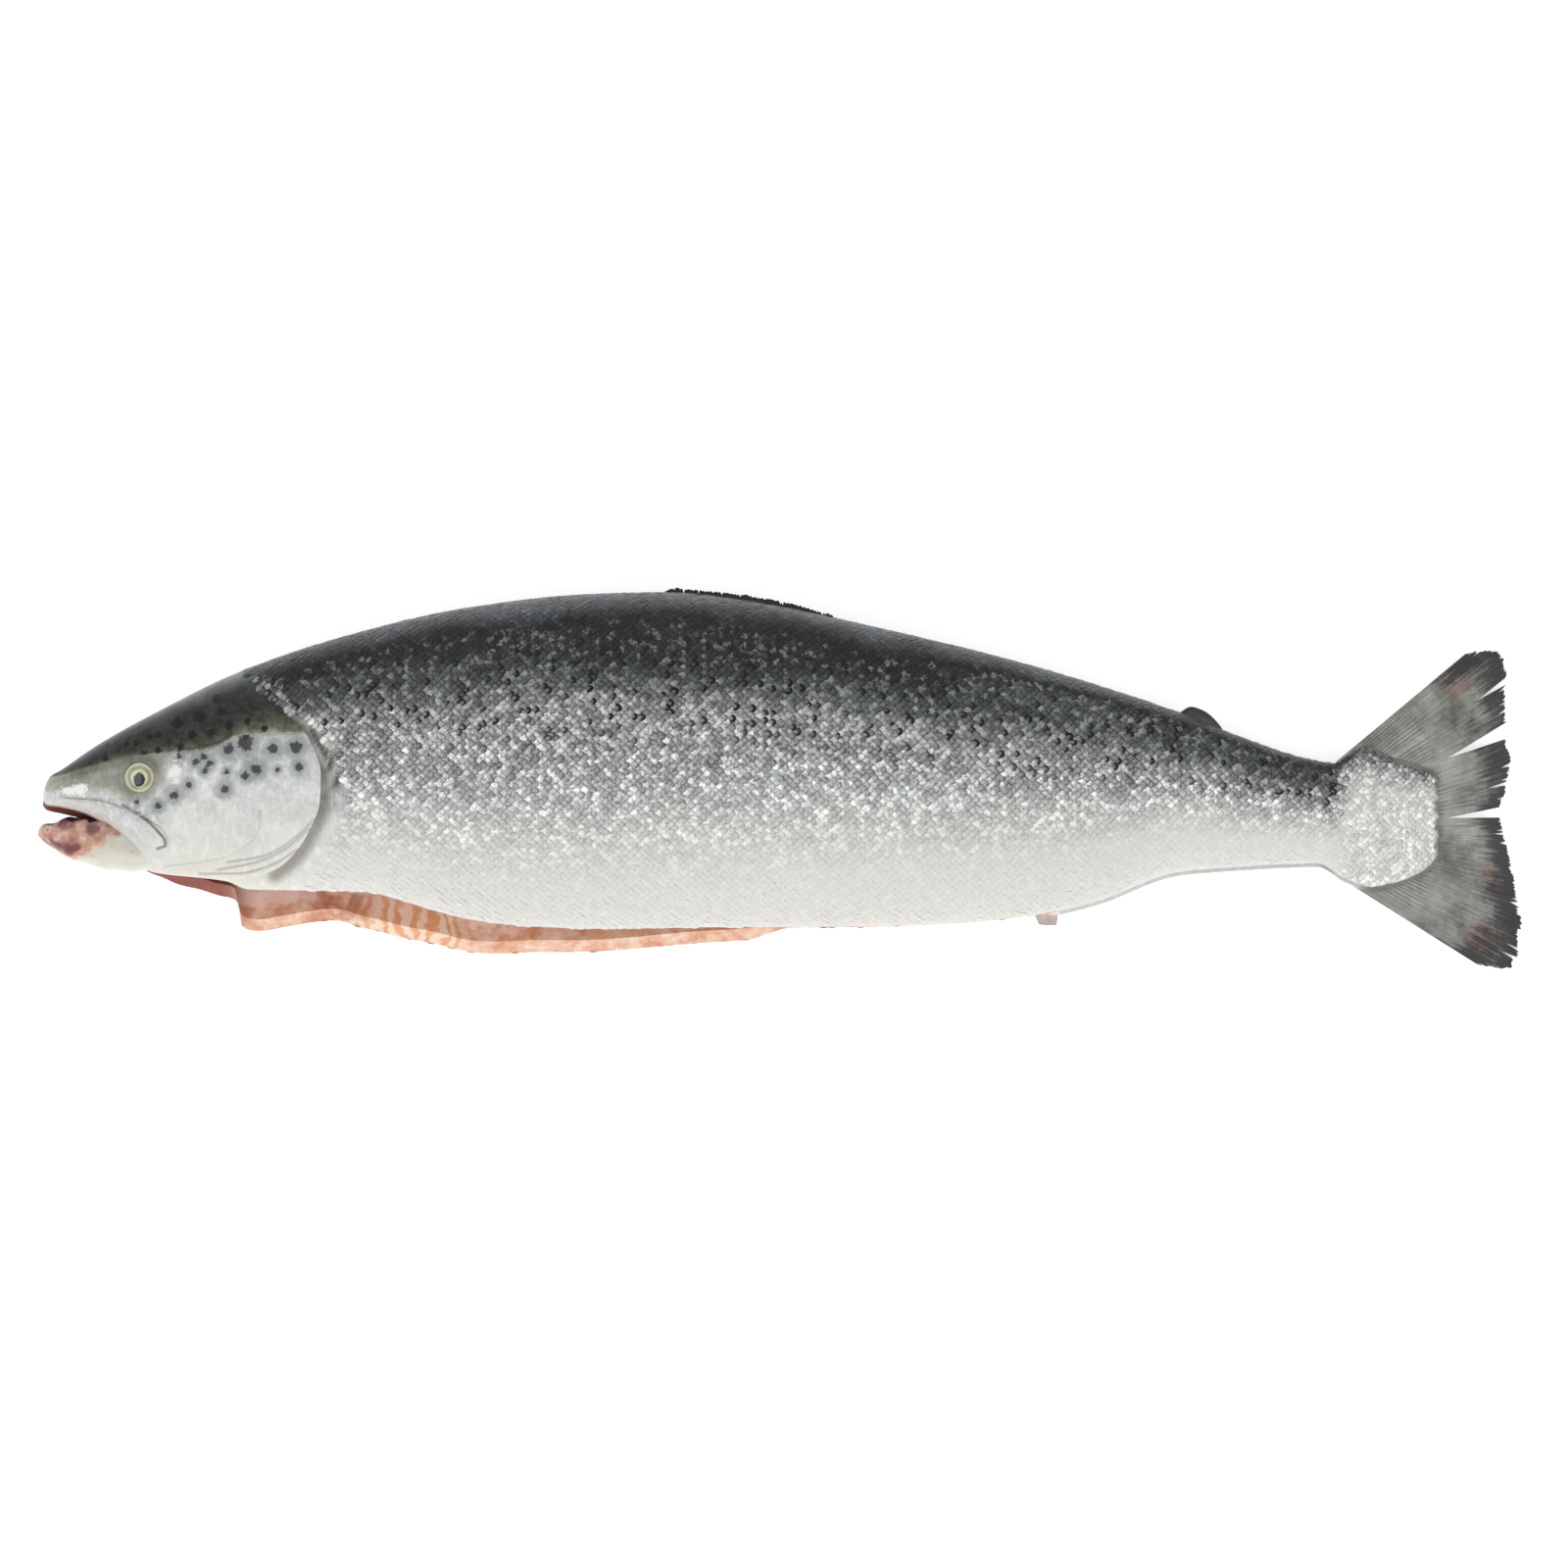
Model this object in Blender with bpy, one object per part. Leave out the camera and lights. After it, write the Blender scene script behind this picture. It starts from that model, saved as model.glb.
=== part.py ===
# A whole gutted salmon that lies on its right side, head towards -X, back towards +Y.
# Lengths in the tables are millimetres. "along" runs from the tip of the lower jaw to the
# tail, "up the side" is the fish's own height, towards its back. The fish is one solid of
# skin and flesh: head with its eyes and gill covers, trunk with its open belly, and fins.
import math
import random

import bmesh
import bpy
import numpy as np

MM = 0.001
MIDDLE = (375.34, 0.55)  # the place, as (along, up the side), over the model's origin
TRUNK_END = 707.0  # the scaled root of the tail fin

# The outline and the thickness of the fish, as (along, value).
BACK_LINE = (
    (2.6, -6), (4.5, -0.5), (7, 3), (12, 6.2), (30, 18.5), (61, 35.6), (101, 55),
    (160, 74.6), (219, 87.9), (279, 94.4), (318, 95.3), (358, 91), (417, 79),
    (496, 59.8), (575, 35.1), (605, 23.2), (640, 11.5), (654, 9.2), (661, 13.6),
    (670, 17.8), (684, 12.5), (697, 8), (704.5, 5), (707, 2.5),
)  # fmt: skip
BELLY_LINE = (
    (2.6, -11), (4.5, -13), (12, -14.8), (22, -17.3), (32, -22.5), (41, -32), (50, -43),
    (56, -46), (61, -47.2), (95, -51.2), (106, -55.3), (165, -56.5), (180, -60), (200, -66),
    (220, -70.8), (245, -73.6), (280, -75.1), (340, -74.4), (417, -74), (457, -72.6),
    (496, -69.2), (516, -65.7), (535, -60.8), (575, -46.4), (595, -44.5), (646, -42),
    (659, -49.4), (672, -54), (684, -52), (694, -48.4), (702, -43.5), (707, -37),
)  # fmt: skip
HALF_THICKNESS = (
    (2.6, 4.5), (4.5, 8.5), (12, 14), (30, 19), (51, 23), (81, 28.5), (110, 33), (140, 36.5),
    (180, 40), (240, 43.5), (300, 44), (360, 42), (420, 38), (480, 32.5), (540, 25),
    (600, 17.5), (646, 12.5), (671, 8), (690, 4.6), (702, 2.9), (707, 2.1),
)  # fmt: skip
# Height of the fish's middle plane over what it lies on: the tail sinks towards it.
AXIS_HEIGHT = (
    (0, 31), (60, 33.5), (120, 36.5), (180, 38.5), (250, 40), (320, 40), (400, 36.5),
    (480, 30.5), (560, 23), (620, 17.2), (660, 13.5), (707, 9), (752, 5),
)  # fmt: skip
ROUNDNESS = ((0, 0.8), (100, 0.85), (300, 0.9), (500, 0.95), (646, 1), (680, 1.2), (707, 0.7))
BACK_BREADTH = ((0, 0.05), (120, 0.08), (300, 0.13), (500, 0.08), (646, 0), (707, 0))

# The belly wall is cut in two flaps. The upper one sags, and the lower one lies further
# out, so that its inside shows. How far it shows past the upper flap is its overhang.
LOWER_FLAP_OVERHANG = (
    (50, 0.2), (61, 1.6), (71, 4.6), (81, 6), (93, 8.1), (99, 8), (102, 19.6), (111, 21.1),
    (125, 18.5), (150, 15.1), (167, 18.9), (180, 19), (200, 17), (219, 16.6), (250, 13.2),
    (289, 11.3), (328, 8.4), (358, 6.6), (370, 3), (380, 0.5), (512, 0.2), (707, 0),
)  # fmt: skip
UPPER_FLAP_SAG = (
    (0, 0), (50, 0), (90, 3), (120, 6), (200, 9), (300, 10), (380, 8), (450, 5), (512, 0),
)  # fmt: skip
LOWER_FLAP_SAG = (
    (0, 0), (50, 0), (90, 9), (105, 14), (130, 16), (200, 20), (300, 20), (360, 16),
    (400, 9.5), (450, 6), (512, 0),
)  # fmt: skip
HOW_OPEN = ((50, 0), (58, 0.5), (72, 1), (485, 1), (500, 0.6), (512, 0))
CAVITY_DEPTH = (
    (50, 0.03), (60, 0.14), (80, 0.32), (100, 0.44), (150, 0.52), (400, 0.5), (450, 0.38),
    (490, 0.2), (512, 0.04),
)  # fmt: skip
CAVITY_SWELL = ((50, 0.4), (80, 5.5), (110, 10.5), (160, 11), (380, 10), (450, 5), (512, 0.4))
FLAP_THICKNESS = 6.5
LOWER_CUT_RUN = 6.5  # the lower flap's cut face slopes out over this width
UPPER_CUT_RUN = 2.5
EDGE_ANGLE = math.radians(13)  # where the outer skin ends at the belly
SHUT_CREASE = 1.8  # how far the belly's keel stands out where it is uncut
SIDE_STEPS = 15
CAVITY_STEPS = 5

# The lower jaw, open under the upper one.
JAW_TOP = (
    (0.2, -24.6), (3, -21.8), (7, -21), (12, -18.9), (20, -17.6), (30, -18), (45, -22), (62, -30),
)  # fmt: skip
JAW_BOTTOM = (
    (0.2, -28), (3, -31), (9, -36.2), (15, -40), (24, -42), (33, -44.8), (50, -46.4),
    (57, -44.5), (62, -38),
)  # fmt: skip
JAW_HALF = ((0.2, 3), (3, 6.5), (10, 10.5), (20, 13), (36, 17.5), (50, 16), (62, 10))

# Plates over the side of the head, as (along, up the side).
GILL_COVER_REAR = (
    (122, 34.6), (132.4, 28.2), (139.3, 16.8), (143.3, 3.5), (142.8, -10.4), (137.3, -25.2),
    (129.4, -37.1), (119.5, -45), (105.7, -48.9), (94.8, -50), (78.5, -48.6), (64, -46.2),
)  # fmt: skip
GILL_COVER_FRONT = (
    (111.6, 30.1), (105.7, 18.3), (108.2, 3.5), (109.2, -8.9), (111.6, -22.2), (105.7, -32.1),
    (93.4, -39), (64, -43.5),
)  # fmt: skip
GILL_COVER_LIFT = 2.8
UPPER_JAW_PLATE = ((12.8, -9.8), (31.6, -13.6), (46.4, -20.6), (56.3, -26.4), (65.2, -32))
UPPER_JAW_PLATE_HALF = ((0, 0.8), (0.3, 2.8), (0.65, 4.6), (0.85, 5.2), (0.96, 3.4), (1, 1.2))
UPPER_JAW_LIFT = 1.3
PLATE_ROOT = 2.5  # how deep a plate's hidden side sits in the head
PLATE_START = 0.4  # and its front edge is just under the skin
PLATE_CLEAR = 0.15  # the lowest that a plate on the side it lies on comes to the floor

EYE_CENTRE = (51.7, 1.6)
EYE_RADIUS = 8.2
EYE_DEPTH = 4.6
EYE_SINK = 2.8
EYE_TILT = math.radians(-10)  # the head narrows to the snout, so the eyes look a little ahead

# The fins, each a thin fan from a root hidden in the body to a worn edge.
TAIL_ROOT = ((655, 9.6), (678, -2), (688, -17), (676, -34), (646, -42.4))
TAIL_EDGE = (
    (721.7, 65), (729.1, 66.8), (738.5, 66.8), (742.2, 62.5), (742.6, 51.4), (742.9, 30.1),
    (742.5, 20), (745.2, 11.5), (743, -1), (739, -16), (742.8, -31.6), (746.9, -50.9),
    (750.6, -75.6), (748.4, -91.3), (743.5, -97), (729.6, -94.9),
)  # fmt: skip
# Tears as (share of the tail's width from the top, share of the ray that stays, half width).
TAIL_TEARS = (
    (0.169, 0.77, 0.0085), (0.295, 0.5, 0.021), (0.433, 0.8, 0.005), (0.51, 0.46, 0.0135),
    (0.591, 0.92, 0.005), (0.752, 0.92, 0.006),
)  # fmt: skip
TAIL_FRAY = 2.6
TAIL_HALF_ROOT = 2.4
TAIL_HALF_EDGE = 0.65
TAIL_COLUMNS = 64
TAIL_ROWS = 5
TAIL_EDGE_HEIGHT = 0.75

DORSAL_ROOT = ((314, 91), (360, 87), (407, 76))
DORSAL_EDGE = (
    (315, 95.6), (320, 98.4), (330, 97.6), (345, 95.9), (362, 93.2), (380, 89.6), (398, 85),
    (406, 80.6),
)  # fmt: skip
ADIPOSE_ROOT = ((574, 31), (585, 27.5), (597, 22.5))
ADIPOSE_EDGE = ((576.5, 34.8), (581.5, 37.4), (588, 35.4), (594, 30.5), (597.4, 26.2))
VENT_ROOT = ((500, -64), (508, -64), (516, -62.5))
VENT_EDGE = ((503, -69), (505.5, -73.2), (513.5, -73.6), (514.5, -66))
STUB_HALF = 1.5


def smooth(points):
    """A smooth curve through (position, value) points that never swings past them."""
    x, y = np.array(points, float).T
    step, rise = np.diff(x), np.diff(y)
    slope = rise / step
    tangent = np.zeros(len(x))
    tangent[0], tangent[-1] = slope[0], slope[-1]
    same_way = slope[:-1] * slope[1:] > 0
    safe = np.where(same_way, slope[:-1] * slope[1:], 1.0)
    total = np.where(same_way, slope[:-1] + slope[1:], 1.0)
    tangent[1:-1] = np.where(same_way, 2 * safe / total, 0)

    def value(at):
        at = min(max(at, x[0]), x[-1])
        i = min(int(np.searchsorted(x, at, side="right")) - 1, len(x) - 2)
        u = (at - x[i]) / step[i]
        blend = u * u * (3 - 2 * u)
        bend = tangent[i] * u * (1 - u) ** 2 - tangent[i + 1] * u * u * (1 - u)
        return y[i] + rise[i] * blend + step[i] * bend

    return value


def trace(points):
    """A smooth path through (along, up the side) points, by its share from 0 to 1."""
    spots = np.array(points, float)
    lengths = np.concatenate([[0], np.cumsum(np.linalg.norm(np.diff(spots, axis=0), axis=1))])
    share = lengths / lengths[-1]
    along = smooth(list(zip(share, spots[:, 0])))
    up = smooth(list(zip(share, spots[:, 1])))
    return lambda at: (along(at), up(at))


def all_smooth(**tables):
    return {name: smooth(points) for name, points in tables.items()}


FISH = all_smooth(
    back=BACK_LINE,
    belly=BELLY_LINE,
    half=HALF_THICKNESS,
    axis=AXIS_HEIGHT,
    round=ROUNDNESS,
    breadth=BACK_BREADTH,
    overhang=LOWER_FLAP_OVERHANG,
    upper_sag=UPPER_FLAP_SAG,
    lower_sag=LOWER_FLAP_SAG,
    opened=HOW_OPEN,
    depth=CAVITY_DEPTH,
    swell=CAVITY_SWELL,
)


def half_at(along, angle):
    """Half the thickness at an angle of 0 at the back and pi at the belly."""
    swell = math.sin(angle) ** FISH["round"](along)
    return FISH["half"](along) * swell * (1 + FISH["breadth"](along) * math.cos(angle))


def edge_of(along, side):
    """Where the skin of that side, 1 upper or -1 lower, ends at the belly."""
    return FISH["belly"](along) - (FISH["overhang"](along) if side < 0 else 0)


def middle_at(along, up, side):
    """Height of the middle plane, with the sag of that side's belly flap."""
    back = FISH["back"](along)
    share = min(max((back - up) / (back - edge_of(along, side)), 0), 1)
    sag = FISH["upper_sag" if side > 0 else "lower_sag"](along)
    return FISH["axis"](along) - sag * share**1.6


def skin_height(along, up, side):
    """Height of the skin over the floor, at a place on the fish's side."""
    back = FISH["back"](along)
    full = 2 * (back - edge_of(along, side)) / (1 - math.cos(math.pi - EDGE_ANGLE))
    share = min(max((back - up) / full, 0.0005), 0.985)
    angle = math.acos(1 - 2 * share)
    return middle_at(along, up, side) + side * half_at(along, angle)


def side_points(along, side):
    """The outer skin of one side, from the back to the belly edge."""
    back, last = FISH["back"](along), math.pi - EDGE_ANGLE
    full = 2 * (back - edge_of(along, side)) / (1 - math.cos(last))
    points = []
    for i in range(SIDE_STEPS + 1):
        angle = last * i / SIDE_STEPS
        up = back - full * (1 - math.cos(angle)) / 2
        height = middle_at(along, up, side) + side * half_at(along, angle)
        points.append((up, max(height, 0)))
    return points


def cavity_points(along, side, deepest):
    """One wall of the belly cavity, from near its deepest line to the cut edge."""
    edge, outer_height = side_points(along, side)[-1]
    half_edge = abs(outer_height - middle_at(along, edge, side))
    flesh = min(FLAP_THICKNESS, 0.75 * half_edge)
    opened = FISH["opened"](along)
    run = UPPER_CUT_RUN if side > 0 else LOWER_CUT_RUN
    inner_edge = edge + run * min(1, half_edge / FLAP_THICKNESS)
    inner_height = outer_height - side * flesh
    edge_gap = side * (inner_height - middle_at(along, inner_edge, side))
    points = []
    for i in range(1, CAVITY_STEPS + 1):
        share = i / CAVITY_STEPS
        up = deepest + (inner_edge - deepest) * share
        gap = edge_gap * share**0.5 + FISH["swell"](along) * math.sin(math.pi * share) ** 0.8
        hollow = (up, middle_at(along, up, side) + side * gap)
        shut_up = edge - SHUT_CREASE * (1 - share * share)
        shut = (shut_up, middle_at(along, edge, side) + side * half_edge * 0.86 * share)
        points.append(tuple(s + (h - s) * opened for s, h in zip(shut, hollow)))
    return points


def section(along):
    """The closed outline of a slice through the fish, as (up the side, height)."""
    back, belly = FISH["back"](along), FISH["belly"](along)
    opened = FISH["opened"](along)
    deepest = back + (belly - back) * (1 - FISH["depth"](along))
    root = sum(middle_at(along, deepest, side) for side in (1, -1)) / 2
    shut_root = (belly - SHUT_CREASE, middle_at(along, belly, 1))
    root = tuple(s + (h - s) * opened for s, h in zip(shut_root, (deepest, root)))
    upper, lower = side_points(along, 1), side_points(along, -1)
    upper_wall, lower_wall = cavity_points(along, 1, deepest), cavity_points(along, -1, deepest)
    return upper[::-1] + lower[1:] + lower_wall[::-1] + [root] + upper_wall


def place(along, up, height):
    """A point of the fish's own frame in the model's, in metres."""
    return ((along - MIDDLE[0]) * MM, (up - MIDDLE[1]) * MM, height * MM)


def mesh_object(name, vertices, faces):
    mesh = bpy.data.meshes.new(name)
    mesh.from_pydata(vertices, [], faces)
    shape = bmesh.new()
    shape.from_mesh(mesh)
    bmesh.ops.recalc_face_normals(shape, faces=shape.faces)
    shape.to_mesh(mesh)
    shape.free()
    return bpy.data.objects.new(name, mesh)


def loft(name, rings):
    """A skin over rings of points, shut at both ends by a fan."""
    count = len(rings[0])
    vertices = [point for ring in rings for point in ring]
    faces = []
    for r in range(len(rings) - 1):
        for i in range(count):
            j = (i + 1) % count
            faces.append((r * count + i, r * count + j, (r + 1) * count + j, (r + 1) * count + i))
    for first, ring in ((0, rings[0]), ((len(rings) - 1) * count, rings[-1])):
        vertices.append(tuple(np.mean(ring, axis=0)))
        middle = len(vertices) - 1
        faces += [(middle, first + i, first + (i + 1) % count) for i in range(count)]
    return mesh_object(name, vertices, faces)


def stations():
    """Where the slices lie: close at the snout, the collar and the tail's root."""
    snout = [2.6, 3.4, 4.8, 7, 10, 14, 19, 25, 32, 38, 44, 50, 56, 63, 70, 78]
    collar = [87, 95, 99, 102, 106]
    trunk = [*np.arange(114, 382, 13.4), *np.arange(384, 520, 10), 526, 538, 550, 563, 576]
    tail_stalk = [*np.arange(588, 650, 10), *range(654, 697, 6), 700.5, 704, 706, TRUNK_END]
    return snout + collar + trunk + tail_stalk


def make_trunk():
    rings = [[place(s, up, height) for up, height in section(s)] for s in stations()]
    return loft("salmon_body", rings)


def make_lower_jaw():
    top, bottom, half = smooth(JAW_TOP), smooth(JAW_BOTTOM), smooth(JAW_HALF)
    rings = []
    for along in (0.2, 1.2, 3, 6, 10, 15, 21, 28, 36, 44, 52, 58, 62):
        centre, reach = (top(along) + bottom(along)) / 2, (top(along) - bottom(along)) / 2
        height = FISH["axis"](along)
        ring = []
        for i in range(20):
            angle = math.tau * i / 20
            side = math.copysign(abs(math.sin(angle)) ** 0.8, math.sin(angle))
            ring.append(place(along, centre + reach * math.cos(angle), height + half(along) * side))
        rings.append(ring)
    return loft("lower_jaw", rings)


def plate(name, spots, lift, side):
    """A plate that follows the side of the head. spots are rows of (along, up the side)."""
    rows, columns = len(spots), len(spots[0])
    vertices = []
    for above in (1, 0):
        for r, row in enumerate(spots):
            for c, (along, up) in enumerate(row):
                raised = lift(r / (rows - 1), c / (columns - 1)) if above else -PLATE_ROOT
                height = max(skin_height(along, up, side) + side * raised, PLATE_CLEAR)
                vertices.append(place(along, up, height))
    grid = [[r * columns + c for c in range(columns)] for r in range(rows)]
    rim = grid[0] + [row[-1] for row in grid[1:-1]] + grid[-1][::-1] + [row[0] for row in grid[-2:0:-1]]
    under = rows * columns
    faces = []
    for r in range(rows - 1):
        for c in range(columns - 1):
            corners = (grid[r][c], grid[r][c + 1], grid[r + 1][c + 1], grid[r + 1][c])
            faces += [corners, tuple(under + k for k in reversed(corners))]
    for a, b in zip(rim, rim[1:] + rim[:1]):
        faces.append((a, b, under + b, under + a))
    return mesh_object(name, vertices, faces)


def make_gill_cover(side):
    front, rear = trace(GILL_COVER_FRONT), trace(GILL_COVER_REAR)
    rows, columns = 17, 7
    spots = []
    for r in range(rows):
        start, end = (np.array(edge(r / (rows - 1))) for edge in (front, rear))
        spots.append([tuple(start + (end - start) * c / (columns - 1)) for c in range(columns)])
    ease = smooth(((0, 0.2), (0.08, 1), (0.8, 0.8), (1, 0.3)))

    def lift(r, c):
        return (GILL_COVER_LIFT + PLATE_START) * ease(r) * c**0.8 - PLATE_START

    return plate(f"gill_cover_{side}", spots, lift, side)


def make_upper_jaw_plate(side):
    line, half = trace(UPPER_JAW_PLATE), smooth(UPPER_JAW_PLATE_HALF)
    rows, columns = 13, 5
    spots = []
    for r in range(rows):
        share = r / (rows - 1)
        x, y = line(share)
        ahead, behind = line(min(share + 0.02, 1)), line(max(share - 0.02, 0))
        run = math.hypot(ahead[0] - behind[0], ahead[1] - behind[1])
        across = (-(ahead[1] - behind[1]) / run, (ahead[0] - behind[0]) / run)
        offsets = [half(share) * (2 * c / (columns - 1) - 1) for c in range(columns)]
        spots.append([(x + across[0] * o, y + across[1] * o) for o in offsets])
    bulge = (0.55, 0.95, 1, 0.95, 0.55)
    return plate(f"upper_jaw_plate_{side}", spots, lambda r, c: UPPER_JAW_LIFT * bulge[round(c * 4)], side)


def fan(name, root, edge, half_root, half_edge, columns, rows, tears=(), fray=0.0, drop=None):
    """A thin fin whose rays run from its root to a worn and torn edge."""
    inner, outer = trace(root), trace(edge)
    ragged = random.Random(name)
    shares = [c / columns for c in range(columns + 1)]
    for at, _, half_width in tears:
        shares += [at - half_width, at, at + half_width]
    shares = sorted({round(s, 4) for s in shares})
    depth_at = {round(at, 4): stays for at, stays, _ in tears}
    torn = [(at - half_width, at + half_width) for at, _, half_width in tears]
    shares = [s for s in shares if s in depth_at or not any(a + 1e-4 < s < b - 1e-4 for a, b in torn)]
    shares = [s for i, s in enumerate(shares) if i == 0 or s - shares[i - 1] > 0.003]
    sides = {1: [], -1: []}
    for share in shares:
        (x0, y0), (x1, y1) = inner(share), outer(share)
        reach = math.hypot(x1 - x0, y1 - y0)
        stays = depth_at.get(share, 1 - fray * ragged.random() / reach)
        for side, points in sides.items():
            column = []
            for r in range(rows + 1):
                out = stays * r / rows
                x, y = x0 + (x1 - x0) * out, y0 + (y1 - y0) * out
                height = FISH["axis"](x) if drop is None else drop(x, out)
                half = half_root + (half_edge - half_root) * out**0.7
                column.append(place(x, y, height + side * half))
            points.append(column)
    columns_made, high = len(shares), rows + 1
    vertices = [p for side in (1, -1) for column in sides[side] for p in column]
    under, faces = columns_made * high, []
    for c in range(columns_made - 1):
        for r in range(rows):
            k = (c * high + r, c * high + r + 1, (c + 1) * high + r + 1, (c + 1) * high + r)
            faces += [k, tuple(under + i for i in reversed(k))]
    rim = [c * high for c in range(columns_made)]
    rim += [(columns_made - 1) * high + r for r in range(1, high)]
    rim += [c * high + rows for c in range(columns_made - 2, -1, -1)]
    rim += list(range(rows - 1, 0, -1))
    for a, b in zip(rim, rim[1:] + rim[:1]):
        faces.append((a, b, under + b, under + a))
    return mesh_object(name, vertices, faces)


def tail_height(along, out):
    """The tail fin sinks from the end of the trunk to what the fish lies on."""
    start = FISH["axis"](along)
    return start + (TAIL_EDGE_HEIGHT - start) * out**1.3


def make_fins():
    tail = fan("tail_fin", TAIL_ROOT, TAIL_EDGE, TAIL_HALF_ROOT, TAIL_HALF_EDGE, TAIL_COLUMNS,
               TAIL_ROWS, TAIL_TEARS, TAIL_FRAY, tail_height)  # fmt: skip
    dorsal = fan("dorsal_fin", DORSAL_ROOT, DORSAL_EDGE, STUB_HALF, 0.9, 22, 2, fray=1.6)
    adipose = fan("adipose_fin", ADIPOSE_ROOT, ADIPOSE_EDGE, STUB_HALF, 0.7, 10, 3)
    vent = fan("vent_flap", VENT_ROOT, VENT_EDGE, STUB_HALF, 0.8, 6, 2, fray=0.8)
    return [tail, dorsal, adipose, vent]


def make_eye(side):
    """A flattened ball that looks out of the side of the head."""
    bpy.ops.mesh.primitive_uv_sphere_add(segments=24, ring_count=12, radius=1)
    ball = bpy.context.object
    ball.name = f"eye_{side}"
    along, up = EYE_CENTRE
    ball.scale = (EYE_RADIUS * MM, EYE_RADIUS * MM, EYE_DEPTH * MM)
    ball.location = place(along, up, skin_height(along, up, side) - side * EYE_SINK)
    ball.rotation_euler = (0, side * EYE_TILT, 0)
    bpy.ops.object.transform_apply(location=False, rotation=True, scale=True)
    return ball


def move_to(obj, collection):
    for old in list(obj.users_collection):
        old.objects.unlink(obj)
    collection.objects.link(obj)


def join_all(body, pieces):
    """Joins the pieces to the body, and removes them."""
    group = bpy.data.collections.new("joined")
    bpy.context.scene.collection.children.link(group)
    for piece in pieces:
        move_to(piece, group)
    union = body.modifiers.new("union", "BOOLEAN")
    union.operation = "UNION"
    union.operand_type = "COLLECTION"
    union.collection = group
    union.solver = "EXACT"
    bpy.context.view_layer.update()
    evaluated = body.evaluated_get(bpy.context.evaluated_depsgraph_get())
    whole = bpy.data.meshes.new_from_object(evaluated)
    body.modifiers.clear()
    body.data = whole
    for piece in pieces:
        bpy.data.objects.remove(piece)
    bpy.data.collections.remove(group)


def skin_material():
    material = bpy.data.materials.new("silver_skin")
    material.use_nodes = True
    shader = material.node_tree.nodes["Principled BSDF"]
    shader.inputs["Base Color"].default_value = (0.42, 0.43, 0.42, 1)
    shader.inputs["Roughness"].default_value = 0.35
    return material


def main():
    for obj in list(bpy.data.objects):
        bpy.data.objects.remove(obj)
    salmon = bpy.data.collections.new("salmon")
    bpy.context.scene.collection.children.link(salmon)

    body = make_trunk()
    salmon.objects.link(body)
    makers = (make_gill_cover, make_upper_jaw_plate, make_eye)
    both_sides = [make(side) for make in makers for side in (1, -1)]
    join_all(body, [make_lower_jaw(), *both_sides, *make_fins()])
    body.data.materials.clear()
    body.data.materials.append(skin_material())
    body.data.shade_smooth()
    body.data.set_sharp_from_angle(angle=math.radians(40))


main()
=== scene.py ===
import math
import random

import bmesh
import bpy
import numpy as np
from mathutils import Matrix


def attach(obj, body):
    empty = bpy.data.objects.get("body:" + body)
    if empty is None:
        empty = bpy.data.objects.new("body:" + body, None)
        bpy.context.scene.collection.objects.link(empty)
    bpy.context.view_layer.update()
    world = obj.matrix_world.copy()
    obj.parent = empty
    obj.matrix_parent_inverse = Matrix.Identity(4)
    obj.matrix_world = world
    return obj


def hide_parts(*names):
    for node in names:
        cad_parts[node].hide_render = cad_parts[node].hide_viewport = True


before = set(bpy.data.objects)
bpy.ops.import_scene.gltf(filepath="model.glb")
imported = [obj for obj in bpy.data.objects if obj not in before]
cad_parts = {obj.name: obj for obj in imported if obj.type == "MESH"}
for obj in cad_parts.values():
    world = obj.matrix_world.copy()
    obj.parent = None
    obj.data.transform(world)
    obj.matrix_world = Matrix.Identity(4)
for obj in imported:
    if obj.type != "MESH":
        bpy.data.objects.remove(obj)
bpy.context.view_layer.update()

# The fish lies on a pale table top and is seen from straight above through a long lens.
# Soft boxes stand round it, and the room over it is dim, so that its dark back stays dark.
MM = 0.001
FRAME_WIDTH = 0.7904  # what the picture takes in, at the fish's own height
LENS_DISTANCE = 14.0
SENSOR = 36.0
FISH_HEIGHT = 0.035

camera_data = bpy.data.cameras.new("camera")
camera_data.sensor_width = SENSOR
camera_data.lens = SENSOR * LENS_DISTANCE / FRAME_WIDTH
camera_data.clip_end = 50
camera = bpy.data.objects.new("camera", camera_data)
camera.location = (0.00085, -0.0023, LENS_DISTANCE + FISH_HEIGHT)
bpy.context.scene.collection.objects.link(camera)
bpy.context.scene.camera = camera
bpy.context.scene.view_settings.view_transform = "Standard"

world = bpy.data.worlds.new("white_room")
world.use_nodes = True
world.node_tree.nodes["Background"].inputs["Color"].default_value = (0.97, 0.985, 1, 1)
world.node_tree.nodes["Background"].inputs["Strength"].default_value = 0.4
bpy.context.scene.world = world


def soft_box(name, place, size, power):
    light = bpy.data.lights.new(name, "AREA")
    light.shape = "RECTANGLE"
    light.size, light.size_y = size
    light.energy = power
    box = bpy.data.objects.new(name, light)
    box.location = place
    box.rotation_euler = (-box.location).to_track_quat("-Z", "Y").to_euler()
    bpy.context.scene.collection.objects.link(box)


soft_box("soft_box_back", (-0.2, 1.7, 1.2), (3.0, 1.8), 12)
soft_box("soft_box_front", (0.2, -1.7, 1.2), (3.0, 1.8), 24)
soft_box("soft_box_left", (-1.8, 0.0, 1.2), (1.8, 3.0), 14)
soft_box("soft_box_right", (1.8, 0.0, 1.2), (1.8, 3.0), 12)

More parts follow.
